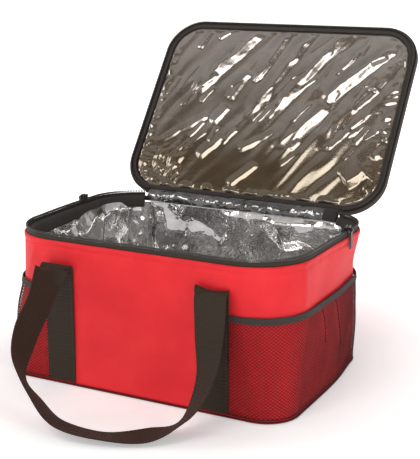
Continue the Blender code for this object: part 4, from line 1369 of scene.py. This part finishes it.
def net_strands(side):
    """A diamond net of thin threads, mapped on the pocket's curved face."""
    wide, tall = 0.0023, 0.00185
    columns = round(POCKET_RUN / wide)
    rows = round((POCKET_TOP - STRAP_START) / tall)
    i, j = np.meshgrid(np.arange(columns + 1), np.arange(rows + 1), indexing="ij")
    i, j = i.ravel(), j.ravel()
    keep = (i + j) % 2 == 0
    i, j = i[keep], j[keep]
    starts, ends = [], []
    for step in (-1, 1):
        fine = (i + step >= 0) & (i + step <= columns) & (j + 1 <= rows)
        starts.append(np.stack([i[fine], j[fine]], -1))
        ends.append(np.stack([i[fine] + step, j[fine] + 1], -1))
    starts, ends = np.concatenate(starts).astype(float), np.concatenate(ends).astype(float)
    starts, ends = starts / (columns, rows), ends / (columns, rows)
    if side > 0:
        tucks = tuck_lines()
        starts = np.concatenate([starts, tucks[:-1].reshape(-1, 2)])
        ends = np.concatenate([ends, tucks[1:].reshape(-1, 2)])
    lean = np.where(ends[:, 0] > starts[:, 0], 1.0, -1.0) * 0.00006
    a, normal = pocket_point(starts[:, 0], starts[:, 1], side, lean)
    b, _ = pocket_point(ends[:, 0], ends[:, 1], side, -lean)
    across = unit(np.cross(unit(b - a), normal))
    vertices = []
    for end in (a, b):
        for k in range(3):
            turn = math.radians(90 + 120 * k)
            sideways = across * math.cos(turn) * NET_THICK * 1.25
            vertices.append(end + sideways + normal * math.sin(turn) * NET_THICK)
    vertices = np.stack(vertices, 1).reshape(-1, 3)
    base = np.arange(len(a))[:, None] * 6
    faces = np.concatenate([base + np.array([[k, (k + 1) % 3, 3 + (k + 1) % 3, 3 + k]]) for k in range(3)])
    return vertices, faces


def make_pockets():
    for side, name in ((-1, "left"), (1, "right")):
        vertices, faces = net_strands(side)
        net = add_mesh(f"{name}_net", vertices, faces, NET_THREAD)
        finish_piece(net, "bag", "black_net", f"{name}_pocket_net")

        share = np.linspace(0, 1, 190)
        turn = ring_turns(12)
        tall, deep = squared(np.sin(turn), 0.6), squared(np.cos(turn), 0.8)
        ripple = 0.0004 * line_noise(share * POCKET_RUN, 0.022, 131)
        band = pocket_band(side, share, 0.0040 + 0.0039 * tall, 0.0011 * deep, ripple, 1.0)
        piece = band_object(f"{name}_pocket_edge", band, share, turn, BINDING, side)
        finish_piece(piece, "bag", "black_binding", f"{name}_pocket_binding")
        line = pocket_band(side, share, np.array([0.0016]), np.array([0.00125]), ripple, 1.0)[0]
        _, out = placed(share, np.full_like(share, POCKET_TOP), 0.0, side)
        stitches(f"{name}_pocket_stitches", line, out, "bag", "black_binding")
        hem = pocket_band(side, share, 0.0006 + 0.0006 * tall, 0.0005 * deep, 0 * share, 0.0)
        piece = band_object(f"{name}_pocket_hem", hem, share, turn, NET_THREAD, side)
        finish_piece(piece, "bag", "black_net")


def pocket_band(side, share, lifts, outs, ripple, rise):
    """Rows that follow the pocket's top edge or its foot."""
    z0 = STRAP_START + (pocket_top(share) - STRAP_START) * rise
    rows = []
    for lift, out in zip(lifts, outs):
        gap = pocket_gap(share, rise, side) + NET / 2 + out
        rows.append(placed(share, z0 + lift + ripple * 0.5, gap, side)[0])
    return np.array(rows)


def band_object(name, rows, share, turn, material, side):
    faces = capped_faces(*rows.shape[:2])
    if side < 0:
        faces = [face[::-1] for face in faces]
    return add_mesh(name, rows, faces, material, cloth_places(share * POCKET_RUN, turn * 0.003))


# ------------------------------------------------------------ hidden padding

def make_padding():
    pattern = loop_pattern(0.006)
    insets, heights = soft_strip(FOAM_OUTER, FOAM_INNER, FLOOR_Z, 0.1627)
    rows, _ = body_rows(pattern, heights, insets)
    foam = grid_object("wall_padding", rows, FOAM, None, close_rows=True, close_columns=True)
    finish_piece(foam, "bag", "foam", "wall_insulation")
    base = inner_size(BASE_LENGTH, BASE_DEPTH, BASE_RADIUS, BASE_LAYER_INSET)
    lid = inner_size(RIM_LENGTH, RIM_DEPTH, LID_RADIUS, LID_FOAM_INSET)
    slab("base_stiffener", base, BOARD_BOTTOM, BOARD_TOP, "bag", "base_board")
    slab("base_padding", base, FOAM_BOTTOM, FOAM_TOP, "bag", "base_insulation")
    slab("lid_padding", lid, COVER_BOTTOM, LID_FOAM_TOP, "lid", "lid_insulation")


def slab(name, outline, bottom, top, body, node):
    """A flat layer whose edges are rounded over: foam, or the stiffener board."""
    x, y = panel_grid(*outline, 0.008)
    inside, _, _ = edge_distance(x, y, *outline)
    round_off = (1 - smooth_step(inside / 0.004)) * (top - bottom) * 0.2
    if body == "bag":
        x, y = sink(x, y, bottom, inside)
    vertices = np.stack([np.stack([x, y, z], -1) for z in (bottom + round_off, top - round_off)])
    if body == "lid":
        vertices[..., 1] -= RIM_DEPTH / 2
        vertices = to_lid(vertices)
    soft = node != "base_board"
    made = add_mesh(name, vertices, shut_faces(*x.shape), FOAM if soft else BOARD)
    finish_piece(made, body, "foam" if soft else "stiffener_board", node)


# ------------------------------------------------------------ stage and light

def make_stage():
    """A pale floor that glows more and more away from the bag: painted light, standing in for a lit sweep."""
    m = Recipe("floor", Roughness=0.6, Specular_IOR_Level=0.2)
    place = m.place()
    away = m.add("ShaderNodeVectorMath", {"operation": "LENGTH"}, Vector=place).outputs["Value"]
    grain = m.noise(place, 3.0, 4.0, 0.6)
    m.set(
        Base_Color=m.mix(grain, (0.80, 0.80, 0.80), (0.86, 0.86, 0.86)),
        # Emission: painted light, weakest near the bag and full white far from it.
        Emission_Color=(1.0, 1.0, 1.0, 1.0),
        Emission_Strength=m.ramp(m.maths("MULTIPLY", away, 0.5), (0.10, 0.30), (0.20, 0.62), (0.38, 1.0)),
    )
    size = 60.0
    corners = [(-size, -size, 0), (size, -size, 0), (size, size, 0), (-size, size, 0)]
    floor = add_mesh("floor", corners, [[0, 1, 2, 3]], m.material, smooth=False)
    floor.location.z = -0.0003


def softbox(name, place, aim, width, height, power):
    data = bpy.data.lights.new(name, "AREA")
    data.shape = "RECTANGLE"
    data.size, data.size_y = width, height
    data.energy = power
    light = bpy.data.objects.new(name, data)
    light.location = place
    light.rotation_euler = (Vector(aim) - Vector(place)).to_track_quat("-Z", "Y").to_euler()
    bpy.context.scene.collection.objects.link(light)


def make_light():
    world = bpy.data.worlds.new("studio")
    bpy.context.scene.world = world
    world.use_nodes = True
    tree = world.node_tree
    background = tree.nodes["Background"]
    place = tree.nodes.new("ShaderNodeTexCoord")
    parts = tree.nodes.new("ShaderNodeSeparateXYZ")
    tree.links.new(place.outputs["Generated"], parts.inputs[0])
    front = tree.nodes.new("ShaderNodeMath")
    front.operation = "MULTIPLY"
    front.inputs[1].default_value = -1.0
    tree.links.new(parts.outputs[1], front.inputs[0])

    def graded(value, stops):
        ramp = tree.nodes.new("ShaderNodeValToRGB")
        tree.links.new(value, ramp.inputs[0])
        elements = ramp.color_ramp.elements
        while len(elements) < len(stops):
            elements.new(0.5)
        for element, (position, colour) in zip(elements, stops):
            element.position = position
            element.color = (*colour, 1)
        return ramp.outputs[0]

    # White low down. Higher up it is brighter towards the front.
    ceiling = graded(front.outputs[0], (
        (0.0, (0.62, 0.61, 0.60)), (0.34, (1.0, 0.96, 0.93)), (0.40, (0.66, 0.61, 0.57)),
        (0.44, (0.28, 0.22, 0.155)), (0.54, (0.26, 0.21, 0.15)), (0.70, (1.0, 0.98, 0.96)),
    ))
    low_down = graded(parts.outputs[2], ((0.14, (1, 1, 1)), (0.36, (0, 0, 0))))
    blend = tree.nodes.new("ShaderNodeMix")
    blend.data_type = "RGBA"
    tree.links.new(low_down, blend.inputs[0])
    tree.links.new(ceiling, blend.inputs[6])
    blend.inputs[7].default_value = (1, 1, 1, 1)
    tree.links.new(blend.outputs[2], background.inputs[0])
    background.inputs[1].default_value = 0.66
    target = (0, 0, 0.15)
    softbox("key", (-0.12, -1.78, 2.12), (0.02, 0.20, 0.28), 1.4, 0.9, 20)
    softbox("left", (-2.0, -0.9, 1.3), target, 0.5, 1.4, 9)
    softbox("right", (2.2, -1.1, 1.1), target, 0.6, 1.4, 13)
    softbox("back", (0.3, 2.4, 1.6), target, 1.8, 0.8, 12)
    bpy.context.scene.view_settings.view_transform = "Standard"


def dress_solids():
    """Finishes for the solids that are shown as they are."""
    for name in ("left_slider", "right_slider", "left_pull", "right_pull", "left_end_stop", "right_end_stop"):
        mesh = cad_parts[name].data
        mesh.materials.clear()
        mesh.materials.append(METAL)


make_camera()
make_wall()
make_base()
make_lining()
make_zip()
make_lid_cover()
make_lid_lining()
make_lid_edge()
make_hinge()
make_columns()
make_handles()
make_pockets()
make_padding()
dress_solids()
make_stage()
make_light()
